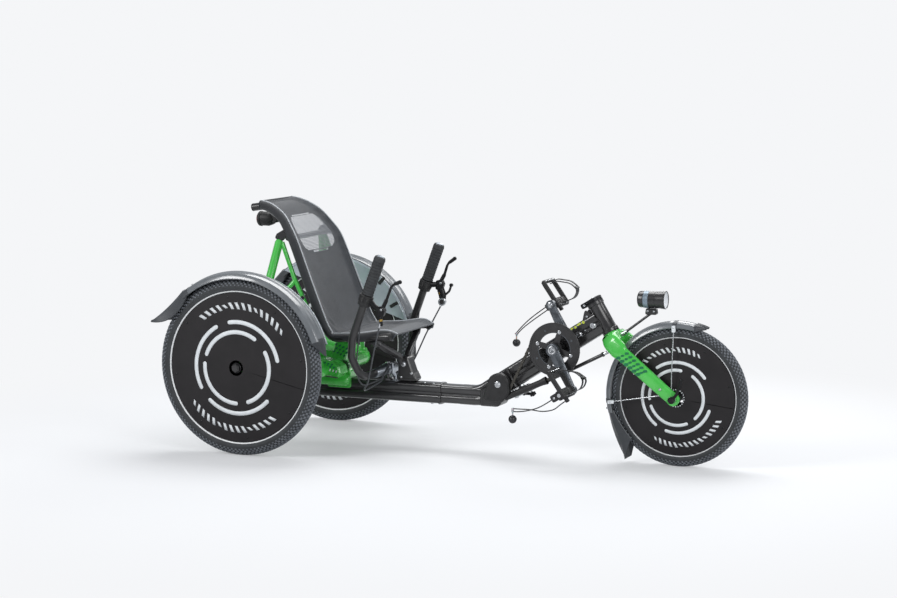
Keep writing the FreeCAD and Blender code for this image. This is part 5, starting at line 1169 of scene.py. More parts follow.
# ------------------------------------------------------------------ seat cradle and rear lamp
# Black steel tubes under the front of the seat, clamped over the sleeve by two plates with
# screws, and a battery lamp hung behind the headrest on an arm.

# Red lamp lens: moulded acrylic in small cells, glossy
RED_LENS = mottled("red_lamp_lens", "#8E1417", "#C5262A", 6, (0.1, 0.16), 0.4, 3.4, True,
                   {"Coat Weight": 0.6, "Coat Roughness": 0.05})
work = Work("seat_cradle", POWDER_BLACK, BRIGHT_STEEL)
clamp = rounded_outline([(352, 189.9), (416, 189.9), (400, 214), (382, 262), (354, 260)], [4, 12, 12, 10, 8])
for hand in HANDS:
    leg = [at(x, hand * y, z) for x, y, z in ((338, 150, 319), (344, 130, 308), (362, 30, 262), (364, 12, 232))]
    work.tube(bent(leg, 24), 10, 24)
    work.turn([(-2, 12.5), (16, 12.5), (20, 10.6)], leg[0], (leg[1] - leg[0]).normalized(), 28)
work.plate([(x - 380, z - 225) for x, z in clamp], at(380, 0, 225), 40, 2.4)
for hand in HANDS:
    work.plate([((x - 380) * 0.82, (z - 222) * 0.82) for x, z in clamp], at(381, hand * 20, 224), 4, 1.4)
    for x, z, head, tall, washer in ((371, 240, 6, 4, 8), (396, 214, 3.6, 2.6, 0), (364, 202, 3.6, 2.6, 0)):
        work.bolt(at(x, hand * 22, z), SIDEWAYS * hand, head, tall, 1, washer)
work.piece("frame", "seat_cradle", angle=40)

LAMP_MIDDLE = at(-75, 0, 642)
work = Work("rear_lamp", NYLON, RED_LENS, POWDER_BLACK, BRIGHT_STEEL)
work.turn([(-23, 19), (-21, 21.6), (-15, 22.4), (-13, 20.6), (8, 21), (20, 17), (26, 14), (28, 8)],
          LAMP_MIDDLE, FORWARD)
work.turn([(-23.4, 18.6), (-25.2, 17), (-26.2, 12), (-26.6, 4)], LAMP_MIDDLE, FORWARD, finish=1)
work.plate(rounded_outline([(-8, -12), (38, -10), (44, 4), (34, 14), (-8, 14)], 6), LAMP_MIDDLE, 26, 3)
work.tube(bent([at(-72, 0, 650), at(-52, 0, 660), at(-46, 0, 676)], 12), 6, 16, 2)
work.plate(oblong(13, 10, 5), at(-47, 0, 663), 22, 1.6)
work.turn([(-12, 10.5), (12, 10.5)], at(-46, 0, 684), SIDEWAYS, 28)
work.bolt(at(-49, -11.2, 662), -SIDEWAYS, 3.6, 2.4, 3)
work.piece("frame", "rear_lamp", slot="black_plastic")

# ------------------------------------------------------------------ fork
# Gloss green steel fork: a short crown tube clamped under the head tube and two flat blades that
# kick forward over a knee to the axle, with a lever for the steering rod on the right blade.


def oval(path, deep, thick, across, outward, steps, squareness):
    """Rows of an oval bar's skin: deep and thick per point along two directions per point."""
    return [[point + a * math.copysign(abs(c) ** squareness, c) * d / 2
             + o * math.copysign(abs(s) ** squareness, s) * t / 2 for c, s in circle(steps)]
            for point, d, t, a, o in zip(path, deep, thick, across, outward)]


def upright_oval(work, path, deep, thick, steps=24):
    """Oval bar that stands on edge: deep across its path, thick sideways."""
    work.skin(oval(path, deep, thick, [run.cross(SIDEWAYS).normalized() for run in runs(path)],
                   [SIDEWAYS] * len(path), steps, 0.75))


EYE_DROP, LEVER_TIP = 11, AXIS_FOOT + HEAD_AXIS * 210 - HEAD_ACROSS * 14 - SIDEWAYS * 32
work = Work("fork_green", GREEN, ANODISED, BRIGHT_STEEL, TEAL_FILM)
crown = HEAD_FOOT - HEAD_AXIS * 20
work.turn([(-30, 12), (-28, 22), (-14, 23.6), (-2, 23.6), (-1, 22.4)], HEAD_FOOT, HEAD_AXIS)
work.turn([(-2.2, 24.6), (-0.4, 24.6), (-0.1, 23)], HEAD_FOOT, HEAD_AXIS, 40, 1)
work.turn(mirrored([(50, 13), (49, 15)]), crown - HEAD_AXIS * 6, SIDEWAYS, 36)
for side, hand in SIDES:
    # each blade leaves the crown sideways, bends down beside the tyre and kicks forward at the knee
    out = SIDEWAYS * hand
    hub, knee = FRONT_AXLE + out * 58, FRONT_AXLE + Vector((-152, hand * 58, 122))
    blade = bent([HEAD_FOOT - HEAD_AXIS * 9 + out * 6, HEAD_FOOT - HEAD_AXIS * 17 + out * 46, knee, hub],
                 [30, 70], 14)
    fine = []
    for one, two in zip(blade, blade[1:]):
        parts = max(1, round((two - one).length / 9))
        fine += [one.lerp(two, k / parts) for k in range(parts)]
    fine.append(blade[-1])
    shares = [k / (len(fine) - 1) for k in range(len(fine))]
    deep = [41 + 9 * math.sin(math.pi * min(1, share * 1.7)) - 5 * max(0, share - 0.5) / 0.5
            for share in shares]
    thick = [26 - 3 * min(1, share * 4) - 5 * max(0, (share - 0.7) / 0.3) for share in shares]
    # its wide face turns from the crown's front to the side
    faces = [-HEAD_AXIS if abs(run.y) > 0.9 else out for run in runs(fine)]
    outward = [(face - run * run.dot(face)).normalized() for face, run in zip(faces, runs(fine))]
    across = [run.cross(face) for face, run in zip(outward, runs(fine))]
    work.skin(oval(fine, deep, thick, across, outward, 28, 0.7))
    work.turn(mirrored([(5, 17), (4, 18)]), hub, SIDEWAYS, 36)
    work.plate(rounded_outline([(-26, 2), (-8, -15), (12, -15), (16, 4), (6, 15), (-14, 16)], 8), hub, 9, 1.4)
    # pinched crease and its eyelet above the dropout
    crease = hub + Vector((-34, 0, 27))
    work.turn([(-12.4, 3.2), (12.4, 3.2)], crease, SIDEWAYS, 20, 2)
    work.bolt(crease + out * 11.6, out, 3.4, 2.2, 2)
    # printed spots: slanted bars in three ragged columns down the straight of the blade
    run = (hub - knee).normalized()
    across = run.cross(SIDEWAYS).normalized()
    for index in range(18):
        rank, lane, size = index // 3, index % 3 - 1, 1 - 0.13 * (index * 5 % 3)
        shift = lane * (12.6 - 0.5 * rank)
        bulge = 11.5 * (1 - abs(shift / 22) ** 2.86) ** 0.35
        spot = knee + run * (14 + 14 * rank + 5 * lane) + across * shift + out * bulge
        work.plate(oblong(6.6 * size, 3.9 * size, 2.8), spot, 1.4, 0.1, 3,
                   along=(run * 0.62 + across * 0.78).normalized())
lever = AXIS_FOOT + HEAD_AXIS * 210
work.tube(bent([lever + HEAD_ACROSS * 2 - SIDEWAYS * 46, lever - SIDEWAYS * 42, LEVER_TIP], 12), 6, 16)
work.turn(mirrored([(4, 8), (3, 8.6)]), LEVER_TIP, HEAD_AXIS, 24)
work.turn([(19, 5.6), (42, 5.6)], crown, HEAD_ACROSS, 20, 2)
work.piece("fork", "fork", slot="green_paint")

work = Work("headset_cap", ANODISED, BRIGHT_STEEL)
cap = HEAD_FOOT + HEAD_AXIS * 95
work.turn([(-3, 23.6), (-2, 24.2), (1, 24.2), (1.6, 23), (2.4, 23), (3, 24), (9, 24), (11, 21.6), (11.4, 12),
           (10, 10), (10, 1)], cap, HEAD_AXIS)
clamp = cap + HEAD_AXIS * 4.5
work.plate(oblong(13, 7, 4), clamp - HEAD_ACROSS * 26, 22, 1.6, along=HEAD_ACROSS)
work.plate([(-12, -0.8), (12, -0.8), (12, 0.8), (-12, 0.8)], clamp - HEAD_ACROSS * 26.4, 22.6, 0.2,
           along=HEAD_ACROSS)
for hand in HANDS:
    work.bolt(clamp - HEAD_ACROSS * 28 + SIDEWAYS * hand * 11, SIDEWAYS * hand, 3.6, 2.6, 1)
work.bolt(cap + HEAD_AXIS * 10.2, HEAD_AXIS, 5, 3, 1)
work.piece("fork", "steering_cap", bevel=0.2)

work = Work("front_axle", BRIGHT_STEEL, ANODISED)
work.turn([(-70, 4.4), (70, 4.4)], FRONT_AXLE, SIDEWAYS, 20)
for hand in HANDS:
    work.turn([(62, 9), (63, 10), (70, 10), (72.6, 8), (73, 3)], FRONT_AXLE, SIDEWAYS * hand, 32)
    for k in range(14):
        work.turn([(64, 0.9), (69, 0.9)], FRONT_AXLE + in_plane(k * 360 / 14) * 10, SIDEWAYS * hand, 8)
root, tip = FRONT_AXLE - SIDEWAYS * 77, FRONT_AXLE + Vector((30, -83, 58))
work.tube(bent([root + Vector((-2, 0, -4)), root.lerp(tip, 0.3) + Vector((7, 0, 0)),
                root.lerp(tip, 0.7) + Vector((4, -1, 0)), tip], 30), 4.2, 14, 1)
work.turn([(-8, 8), (-6, 9.6), (2, 9.6), (5, 6)], root, -SIDEWAYS, 28, 1)
work.piece("fork", "front_axle", slot="bright_metal")

# ------------------------------------------------------------------ front mudguard
# Narrow guard in the same plastic with a dark split tip ahead of the wheel and a long flap
# behind it, held by the crown bolt and by two pairs of steel wires with clips.
FRONT_GUARD = 203.5
work = Work("front_mudguard", GUARD_GREY, FLAP_GREY, BRIGHT_STEEL)
guard(work, FRONT_AXLE, 0, FRONT_GUARD, 27, 76, 196, 1.2)
for hand in HANDS:
    guard(work, FRONT_AXLE, hand * 13, FRONT_GUARD + 0.4, 13.4, 67.5, 77, 1.5, 12, 1.2, 1)
for middle in (92.5, 186):
    guard(work, FRONT_AXLE, 0, FRONT_GUARD + 0.8, 28, middle - 1.6, middle + 1.6, 1.2, 2, finish=1)
edge = in_plane(199) * FRONT_GUARD
flap(work, FRONT_AXLE, 0, in_plane(194) * (FRONT_GUARD + 2.4), edge + Vector((6, 0, -52)),
     Vector((edge.x + 45, 0, 12 - FRONT_AXLE.z)), 16, (27, 3), 1.4, 0.35,
     lambda share: 18 + 40 * min(share, 0.68) - 43 * max(0, share - 0.68) / 0.32)
for x in (-15, 15):
    work.bolt(FRONT_AXLE + SIDEWAYS * x + in_plane(192) * (FRONT_GUARD + 3.4), in_plane(192), 3, 1.4, 2)
work.piece("fork", "front_mudguard", angle=30, slot="guard_plastic")

work = Work("guard_wires", BRIGHT_STEEL, WHITE_VINYL)
for degrees in (93, 187):
    for hand in HANDS:
        up, out = in_plane(degrees), SIDEWAYS * hand
        hub, rim = FRONT_AXLE + Vector((-9, hand * 45, 12)), FRONT_AXLE + up * (FRONT_GUARD - 6) + out * 26
        work.tube(bent([hub, hub.lerp(rim, 0.25) + out * 4, rim], 40), 1.8, 10)
        work.plate(oblong(5, 9, 1.6), rim - up * 9 + out * 2.4, 7, 1, 1, along=up.cross(SIDEWAYS))
        work.bolt(rim - up * 6 + out * 5.6, out, 2, 1.2)
work.piece("fork", "guard_wires", slot="bright_metal")

# ------------------------------------------------------------------ headlight
# Black battery headlight: ribbed aluminium body with a grey band, a clear front glass over the
# bright reflector, a bracket block and a bent stay down to the crown.

# Front glass over the bright reflector: milky white and very glossy
LAMP_GLASS = mottled("headlight_glass", "#F7F9FB", "#D4DAE0", 7, (0.06, 0.12), 0.4, 7, True,
                     {"Coat Weight": 1.0, "Coat Roughness": 0.03})
# Blue-grey anodised band of the headlight
BAND_GREY = mottled("blue_grey_band", "#74838F", "#91A0AC", 12, (0.3, 0.4), shader={"Metallic": 0.4})
work = Work("headlight", POWDER_BLACK, BAND_GREY, LAMP_GLASS, BRIGHT_STEEL)
lamp = at(1104, 0, 456)
work.turn([(-38, 10), (-37.4, 17), (-35, 21), (-32, 22.4), (-20, 23)], lamp, FORWARD, 56)
work.turn([(-20, 23), (-19.4, 23.8), (-6.6, 23.8), (-6, 23.2)], lamp, FORWARD, 56, 1)
work.turn([(-6, 23.2), (12, 23), (12.6, 22.4), (14, 22.4), (14.6, 23.2), (26, 23.8), (38, 25), (41, 25),
           (41.6, 23.6), (40, 22.4)], lamp, FORWARD, 56)
work.turn([(40, 22.6), (40.8, 18), (41.6, 10), (41.9, 2)], lamp, FORWARD, 48, 2)
work.plate(rounded_outline([(-17, -9), (17, -9), (14, 8), (-14, 8)], 4), lamp - UP * 32, 18, 1.6)
for x in (-9, 9):
    work.bolt(lamp + Vector((x, -9.2, -31)), -SIDEWAYS, 3, 2, 3)
work.tube(bent([lamp - UP * 37, at(1084, 0, 404), crown + HEAD_ACROSS * 36, crown + HEAD_ACROSS * 24], 20),
          3.5, 14)
work.piece("fork", "headlight")

# ------------------------------------------------------------------ handlebar and stem
# Under-seat steering: a silver stem clamp turns on the pivot of the sleeve and holds a bent black
# bar that comes up on each side of the seat; an arm on its left takes the rear steering rod.

# Satin aluminium: mid grey, finely turned
SATIN = mottled("satin_aluminium", "#9AA1A9", "#C3C8CE", 2, (0.26, 0.4), shader={"Metallic": 1.0})
BAR = [(384, 210, 560), (300, 212.1, 336), (296, 212.1, 280), (312, 180.6, 219)]
PIVOT, ROD_PIN = at(312, 0, 219), at(312, 46, 166)
work = Work("handlebar_stem", SATIN, BRIGHT_STEEL)
work.turn(mirrored([(92, 12.4), (91, 13.2), (40, 14), (38, 15.5)]), PIVOT, SIDEWAYS, 40)
work.turn([(-12, 15), (-11, 17), (13, 17), (16, 14), (17, 6)], PIVOT, UP, 36)
work.bolt(at(312, 0, 236), UP, 6.4, 4, 1, 9)
for hand in HANDS:
    work.bolt(at(323, hand * 26, 229), Vector((0.7, 0, 0.7)), 3.4, 2.4, 2)
work.tube(bent([at(312, 30, 208), at(312, 46, 196), at(312, 46, 168)], 10), 7, 18)
work.turn([(-6, 10), (-5, 11), (4, 11), (5, 10)], ROD_PIN, UP, 24)
work.bolt(at(312, 46, 171.4), UP, 4.2, 3, 1)
work.piece("handlebar", "handlebar_stem", slot="bright_metal")

work = Work("handlebar", POWDER_BLACK)
work.tube(bent([at(x, -y, z) for x, y, z in BAR] + [at(*place) for place in reversed(BAR)],
               [60, 34, 60, 60, 34, 60], 10), 11, 28)
work.piece("handlebar", "handlebar")

# Soft black grip rubber: matt, slightly dusty, finely knurled
GRIP = mottled("soft_grip_rubber", "#27282A", "#3C3E40", 18, (0.62, 0.78), 0.35, 1.8, True)
GRIP_TOPS = {hand: at(384, hand * 210, 560) for hand in HANDS}
GRIP_RUNS = {hand: (at(300, hand * 212.1, 336) - GRIP_TOPS[hand]).normalized() for hand in HANDS}
grip = [(-7, 4), (-6.4, 12), (-4, 15), (0, 16.2)]
for k in range(12):
    grip += [(2 + 8.4 * k, 16.6), (7.4 + 8.4 * k, 16.6), (8.1 + 8.4 * k, 15.2), (9.6 + 8.4 * k, 15.2)]
grip += [(104, 17.2), (107, 17.4), (108, 15.6)]
shifter = [(109, 15), (110, 18.4), (112, 19)]
for k in range(5):
    shifter += [(114 + 3.6 * k, 19), (115.4 + 3.6 * k, 18.2)]
shifter += [(131, 19), (140, 18), (142, 14)]
work = Work("handgrips", GRIP, SATIN, NYLON)
for hand, top in GRIP_TOPS.items():
    down = GRIP_RUNS[hand]
    work.turn(grip, top, down, 36)
    work.turn([(-9, 4), (-8.4, 9), (-6.4, 11.2)], top, down, 28, 1)
    # twist shifter and brake clamp below the grip
    work.turn(shifter, top, down, 40, 2)
    across, other = square_to(down)
    for c, s in circle(16):
        rib = top + (across * c + other * s) * 18.8
        work.tube([rib + down * 112, rib + down * 130], 1.5, 6, 2)
work.piece("handlebar", "handgrips", angle=30, slot="grip_rubber")

# Brass of the cable adjusters: polished, a little tarnished
BRASS = mottled("brass_adjuster", "#9A7B38", "#D6B56A", 3, (0.22, 0.34), shader={"Metallic": 1.0})
# Brake levers: height of the knuckle and the finger's path from it, on each side
LEVERS = {RIGHT: (414, [(6, 2, 8), (17, 3, 32), (33, 4, 74), (57, 4, 83)]),
          LEFT: (446, [(2, 2, 8), (14, 3, 30), (24, 4, 62), (46, 4, 78)])}
work = Work("brake_levers", ANODISED, BRIGHT_STEEL, BRASS, NYLON)
for hand, (height, finger) in LEVERS.items():
    collar, knuckle = GRIP_TOPS[hand] + GRIP_RUNS[hand] * 124, at(386, hand * 211, height)

    def near(*offset):
        """Place by its offset from the knuckle."""
        return knuckle + Vector(offset)

    # clamp band, bracket and hinge
    work.tube([collar + FORWARD * 10, collar.lerp(knuckle, 0.6), knuckle], [9, 8, 7.4], 16)
    work.plate(rounded_outline([(-12, -16), (10, -14), (16, 2), (10, 15), (-10, 12)], 5), knuckle, 16, 2.4)
    for face in (1, -1):
        work.bolt(near(5, face * 8, 5), SIDEWAYS * face, 3.4, 2, 1)
    finger = bent([near(*spot) for spot in finger], [30, 26], 10)
    shares = [k / (len(finger) - 1) for k in range(len(finger))]
    deep = [12 - 5 * min(1, share * 1.6) + 4 * max(0, share - 0.8) * 5 for share in shares]
    upright_oval(work, finger, deep, each(5.6, len(finger)))
    work.turn(mirrored([(2.8, 5), (1.6, 5.8)]), finger[-1], SIDEWAYS, 20)
    barrel, out = near(-2, 0, -14), Vector((8, 0, -44)).normalized()
    work.turn([(-4, 6), (0, 6.4), (8, 6.2), (9, 5), (26, 4.6), (28, 3)], barrel, out, 24)
    work.turn([(9.4, 5.4), (14, 5.6), (15, 5)], barrel, out, 16, 2)
    if hand == LEFT:
        # parking catch: a second short lever and a bright thumb wheel on a longer body
        work.tube([near(4, 0, -8), near(12, -2, -30), near(14, -2, -46)], [8, 9, 6], 18)
        work.tube(bent([near(14, -3, -34), near(32, -3, -18), near(38, -3, 0)], 12), 3.4, 12)
        work.turn(mirrored([(5, 3), (3, 5.4)]), near(38, -3, 0), SIDEWAYS, 20)
        work.turn(mirrored([(5, 7), (5, 10.6), (4, 11.6)]), near(12, -10, -50), SIDEWAYS, 32, 1, True)
        work.turn([(-3, 7), (3, 7)], near(12, -10, -50), SIDEWAYS, 24, 3)
work.piece("handlebar", "brake_levers")

# Cable housing: smooth dark grey plastic with a thin line of light on it
HOUSING = mottled("dark_cable_housing", "#34363A", "#505357", 8, (0.26, 0.34))
work = Work("control_cables", HOUSING, BRIGHT_STEEL)
for brake, gear in (
        ([(384, -213, 376), (360, -203, 292), (338, -192, 208), (314, -176, 178), (330, -84, 196),
          (322, -16, 238.4)],
         [(334, -214, 424), (322, -208, 372), (304, -196, 262), (306, -180, 190), (334, -90, 204),
          (326, -20, 232)]),
        ([(394, 209, 390), (352, 186, 300), (336, 128, 222), (336, 60, 222), (322, 16, 238.4)],
         [(334, 214, 424), (322, 208, 372), (312, 200, 262), (326, 110, 206), (326, 20, 232)])):
    brake, gear = [at(*place) for place in brake], [at(*place) for place in gear]
    work.tube(bent(brake, 50, 10), 2.2, 12)
    work.tube(bent(gear, 50, 10), 1.9, 12)
    work.tube([brake[0].lerp(brake[1], -0.05), brake[0].lerp(brake[1], 0.1)], 3.2, 12, 1)
work.piece("handlebar", "control_cables", angle=60, slot="black_plastic")

# ------------------------------------------------------------------ steering links
# Polished steel rods with ball eyes: fork lever to bell crank, bell crank to the stem arm; the
# bell crank turns on a bolt below the boom.


def eye(work, middle, axis, outer=7.5, finish=0):
    """Ball joint eye: ring with a ball and a dark gap round it."""
    thick, ball = 5, outer - 2.6
    work.turn(mirrored([(thick, outer - 2.4), (thick, outer - 0.6), (thick - 1, outer)]), middle, axis,
              32, finish, True)
    work.turn([(ball * 1.06 * math.sin(math.radians(20 * k - 80)), ball * math.cos(math.radians(20 * k - 80)))
               for k in range(9)], middle, axis, 24, finish)
    work.turn([(-thick - 1.6, 3.4), (thick + 1.6, 3.4)], middle, axis, 16, finish)


BELL_RIGHT, BELL_LEFT = BELL - HEAD_ACROSS * 14 - SIDEWAYS * 32, BELL + SIDEWAYS * 46
work = Work("front_steering_rod", BRIGHT_STEEL, POWDER_BLACK)
front_eye, rear_eye = LEVER_TIP - HEAD_AXIS * EYE_DROP, BELL_RIGHT - HEAD_AXIS * EYE_DROP
run = (front_eye - rear_eye).normalized()
work.tube([rear_eye + run * 26, front_eye - run * 26], 5, 18, 1)
for middle, inward in ((rear_eye, run), (front_eye, -run)):
    work.turn([(6.6, 4), (8, 4.6), (24, 4.4)], middle, inward, 20)
    work.turn([(24, 6.4), (30, 6.4)], middle, inward, 6, 1)
    eye(work, middle, HEAD_AXIS)
work.piece("front_rod", "front_steering_rod", slot="bright_metal")

work = Work("rear_steering_rod", BRIGHT_STEEL, ANODISED)
fore_eye = BELL_LEFT + HEAD_AXIS * ((ROD_PIN.z - BELL_LEFT.z) / HEAD_AXIS.z)
run = (fore_eye - ROD_PIN).normalized()
work.tube([ROD_PIN + run * 9, ROD_PIN + run * 26], 5.4, 18)
work.tube([ROD_PIN + run * 20, fore_eye - run * 26], 4.5, 18)
work.turn([(25, 6.4), (31, 6.4)], ROD_PIN, run, 6, 1)
work.turn([(8, 4.4), (24, 4.6)], fore_eye, -run, 20, 1)
work.turn([(24, 6.4), (30, 6.4)], fore_eye, -run, 6, 1)
eye(work, fore_eye, HEAD_AXIS, 9, 1)
work.piece("rear_rod", "rear_steering_rod", slot="bright_metal")

work = Work("rod_end", BRIGHT_STEEL)
eye(work, ROD_PIN, UP)
work.piece("rod_end", "rod_end", slot="bright_metal")

work = Work("bell_crank", POWDER_BLACK, BRIGHT_STEEL)
work.turn(mirrored([(6, 5.4), (6, 11), (5, 12)]), BELL, HEAD_AXIS, 32, loop=True)
for tip, drop in ((BELL_RIGHT, 17), (BELL_LEFT, (BELL_LEFT - fore_eye).length + 6)):
    length = (tip - BELL).length
    work.plate(rounded_outline([(9, -8.6), (length, -6.6), (length, 6.6), (9, 8.6)], 3), BELL, 7, 1.2,
               along=(tip - BELL).normalized(), face=HEAD_AXIS)
    work.turn(mirrored([(5, 7), (4, 8)]), tip, HEAD_AXIS, 28)
    work.bolt(tip + HEAD_AXIS * 5, HEAD_AXIS, 4, 3, 1)
    work.turn([(0, 3), (drop, 3)], tip, -HEAD_AXIS, 16, 1)
work.piece("bell_crank", "bell_crank")

# ------------------------------------------------------------------ cranks and chainring
# Forged aluminium cranks in satin black with a bright ridge, a black spider and chainring with a
# guard disc outside the teeth, four silver chainring bolts and a self-extracting crank bolt.

# Dark satin anodising of the cranks: blue-grey where it catches light
CRANK_GREY = mottled("dark_crank_anodising", "#4A4D51", "#767B81", 16, (0.24, 0.36), shader={"Metallic": 0.75})
CRANK_LENGTH, CRANK_ANGLE, CRANK_OUT, PEDAL_OUT = 122, -62, 72, 80
CRANK_RUNS = {RIGHT: in_plane(CRANK_ANGLE), LEFT: in_plane(CRANK_ANGLE + 180)}
# Section of the arm: flat inside, with a raised ridge outside
CRANK_SECTION = [(-1, -0.5), (-0.72, -1), (0.72, -1), (1, -0.5), (1, 0.25), (0.62, 0.72), (0.2, 1.0), (0, 1.1),
                 (-0.2, 1.0), (-0.62, 0.72), (-1, 0.25)]

for side, hand in SIDES:
    work = Work("crank_" + side, CRANK_GREY, BRIGHT_STEEL)
    along, out = CRANK_RUNS[hand], SIDEWAYS * hand
    across, face = along.cross(SIDEWAYS), CRANK + out * CRANK_OUT
    # arm: a chamfered bar that narrows to the pedal eye
    rows = []
    for step in range(25):
        share = step / 24
        wide, deep = 17 - 6 * share, 7.8 - 1.2 * math.sin(math.pi * share)
        rows.append([face + along * (share * CRANK_LENGTH) + across * x * wide + out * z * deep
                     for x, z in CRANK_SECTION])
    work.skin(rows)
    work.turn([(-8, 16.6), (-7, 18), (6, 18), (8, 16.4), (8, 12.4), (5.6, 11.4)], face, out)
    work.turn([(5, 11.6), (7.8, 11.4), (8.4, 10), (8.4, 7), (6.4, 6.4)], face, out, 36, 1)
    work.bolt(face + out * 6.6, out, 5.8, 1.6, 1)
    end = face + along * CRANK_LENGTH
    work.turn([(-8, 12), (-7, 13.2), (6.6, 13.2), (7.8, 12), (7.8, 7)], end, out, 40)
    work.turn([(6, 7.2), (8.2, 7.2), (8.2, 4.6)], end, out, 6, 1)
    work.bolt(end - out * 7.6, -out, 6, 2.4, 1, 8)
    if hand == LEFT:
        work.turn([(-62, 8), (64, 8)], CRANK, SIDEWAYS, 28, 1)
    work.piece("crankset", "crank_" + side, angle=34, bevel=0.3, slot="crank_metal")


def round_plate(work, centre, outer, inner, thickness, chamfer):
    """Flat annulus with broken edges."""
    half = thickness / 2
    work.turn(mirrored([(half, inner), (half, outer - chamfer), (half - chamfer, outer)]), centre, SIDEWAYS,
              96, loop=True)


work = Work("chainring", POWDER_BLACK, BRIGHT_STEEL, CRANK_GREY)
round_plate(work, CRANK - SIDEWAYS * 57.5, 75, 47.5, 2.8, 0.9)
round_plate(work, CRANK - SIDEWAYS * 59.1, 71, 67.5, 0.8, 0.3)
toothed_ring(work, CRANK - SIDEWAYS * 52.4, 36, 68.6, 64, 48, 3.2)
work.turn([(0, 49), (3, 47), (3, 46), (0, 46)], CRANK - SIDEWAYS * 58.8, SIDEWAYS, 72, 2, True)
work.turn([(-59.4, 18), (-58.6, 21.4), (-51, 22), (-50, 18)], CRANK, SIDEWAYS)
for index in range(4):
    along, straight = in_plane(CRANK_ANGLE + 45 + 90 * index), in_plane(CRANK_ANGLE + 90 * index)
    work.plate(rounded_outline([(14, -9.4), (46, -7), (57, -7.4), (57, 7.4), (46, 7), (14, 9.4)], 5),
               CRANK - SIDEWAYS * 56.6, 6.4, 1.6, along=along)
    work.turn([(-0.4, 5.4), (1.0, 5.2), (1.6, 4.2), (1.6, 2.6), (0.4, 2.4)],
              CRANK + along * 51 - SIDEWAYS * 59.6, -SIDEWAYS, 24, 1)
    work.turn([(-0.3, 3.2), (0.5, 3.0), (0.5, 1.2)],
              CRANK + straight * 57 - SIDEWAYS * 58.7, -SIDEWAYS, 16, 2)
work.piece("crankset", "chainring", angle=34)

# ------------------------------------------------------------------ chain
# Half-inch roller chain, link by link: round the chainring and back through a tube of black
# plastic under the boom, and the loop between the beam and the rear sprocket.

# Oiled chain steel: dark brown-grey, glossy in the oil, gritty between the links
CHAIN_STEEL = mottled("oiled_chain_steel", "#2B2926", "#77746E", 2.4, (0.22, 0.5), shader={"Metallic": 0.9})
PITCH, PLATE_ROUND, PLATE_WAIST = 12.7, 4, 2.9
# Places of the two pairs of side plates off the chain's middle, half their thickness, radii and
# half lengths of pin and roller
OUTER_PLATE, INNER_PLATE, PLATE_HALF = 3.1, 2.0, 0.5
PIN, ROLLER = (1.8, 4.0), (3.6, 1.5)
TUBE_BACK, TUBE_RUN = at(696, -52, 167), Vector((0.90816, 0, 0.41863))


def belt_path(start, middle, radius, end, sense):
    """Points from start, on an arc round a wheel, and off to end."""
    def tangent(point, lead):
        run = point - middle
        return math.atan2(run.z, run.x) + lead * math.acos(radius / math.hypot(run.x, run.z))
    first, last = tangent(start, sense), tangent(end, -sense)
    wrap = (sense * (last - first)) % (2 * math.pi)
    return [start] + [middle + in_plane(math.degrees(first + sense * wrap * step / 40)) * radius
                      for step in range(41)] + [end]


def roller_chain(work, path):
    """Pins, rollers and inner and outer side plates at half-inch pitch along a path."""
    spots, carry = [], 0.0
    for one, two in zip(path, path[1:]):
        length = (two - one).length
        while carry <= length:
            spots.append(one.lerp(two, carry / length))
            carry += PITCH
        carry -= length
    angles = [math.radians(22.5 * step - 90) for step in range(9)]
    outline = []
    for sign in (1, -1):
        outline += [(sign * (PITCH / 2 + PLATE_ROUND * math.cos(angle)), sign * PLATE_ROUND * math.sin(angle))
                    for angle in angles] + [(0, sign * PLATE_WAIST)]
    for index, (one, two) in enumerate(zip(spots, spots[1:])):
        run = (two - one).normalized()
        rise, apart = run.cross(SIDEWAYS), OUTER_PLATE if index % 2 else INNER_PLATE
        for hand in HANDS:
            middle = (one + two) / 2 + SIDEWAYS * hand * apart
            work.skin([[middle + run * x + rise * z + SIDEWAYS * depth for x, z in outline]
                       for depth in (-PLATE_HALF, PLATE_HALF)])
        for (radius, half), steps in ((PIN, 10), (ROLLER, 12)):
            work.turn([(-half, radius), (half, radius)], one, SIDEWAYS, steps)


work = Work("chain", CHAIN_STEEL)
roller_chain(work, belt_path(CASE + Vector((32, 0, -12)), CRANK - SIDEWAYS * 52, 68.6,
                             TUBE_BACK + TUBE_RUN * 4, -1))
roller_chain(work, belt_path(at(82, 0, 176), REAR_AXLE, 40.6, at(82, 0, 148), 1))
work.piece("frame", "chain", slot="chain_steel")

work = Work("chain_tube", NYLON)
work.turn([(0, 6.9), (0, 8.6), (0.6, 9), (112, 9), (120, 9.4), (134, 11.5), (135.5, 11.2), (135.5, 9.6),
           (120, 7)], TUBE_BACK, TUBE_RUN, 32, loop=True)
work.piece("frame", "chain_tube", slot="black_plastic")

# ------------------------------------------------------------------ pedals
# Black cage pedals with a heel-side clip, a double foot strap of webbing over the toe, and a
# rubber ball on two cords that pulls the clip open.

# Black nylon webbing: ribbed across, slightly shiny on the ribs
WEBBING = mottled("black_strap_webbing", "#1A1A1C", "#303236", 6, (0.4, 0.55), 0.3, 2)
# Translucent plastic of the ferrules: waxy grey with soft light inside
FROSTED = mottled("frosted_ferrule_plastic", "#8C9096", "#B9BDC2", 5, (0.3, 0.4),
                  shader={"Subsurface Weight": 0.3})
# Solid black rubber of the pull balls: smooth, with one soft highlight
BALL_RUBBER = mottled("smooth_black_ball_rubber", "#1F2023", "#2C2D30", 8, (0.2, 0.3), 0.05, 2)
# A pedal's own forward and upward directions, turned back by its lean, and where its clip sits
FOOT, FOOT_UP = in_plane(35), in_plane(125)
CLIP_SIDE = {RIGHT: 84, LEFT: 24}
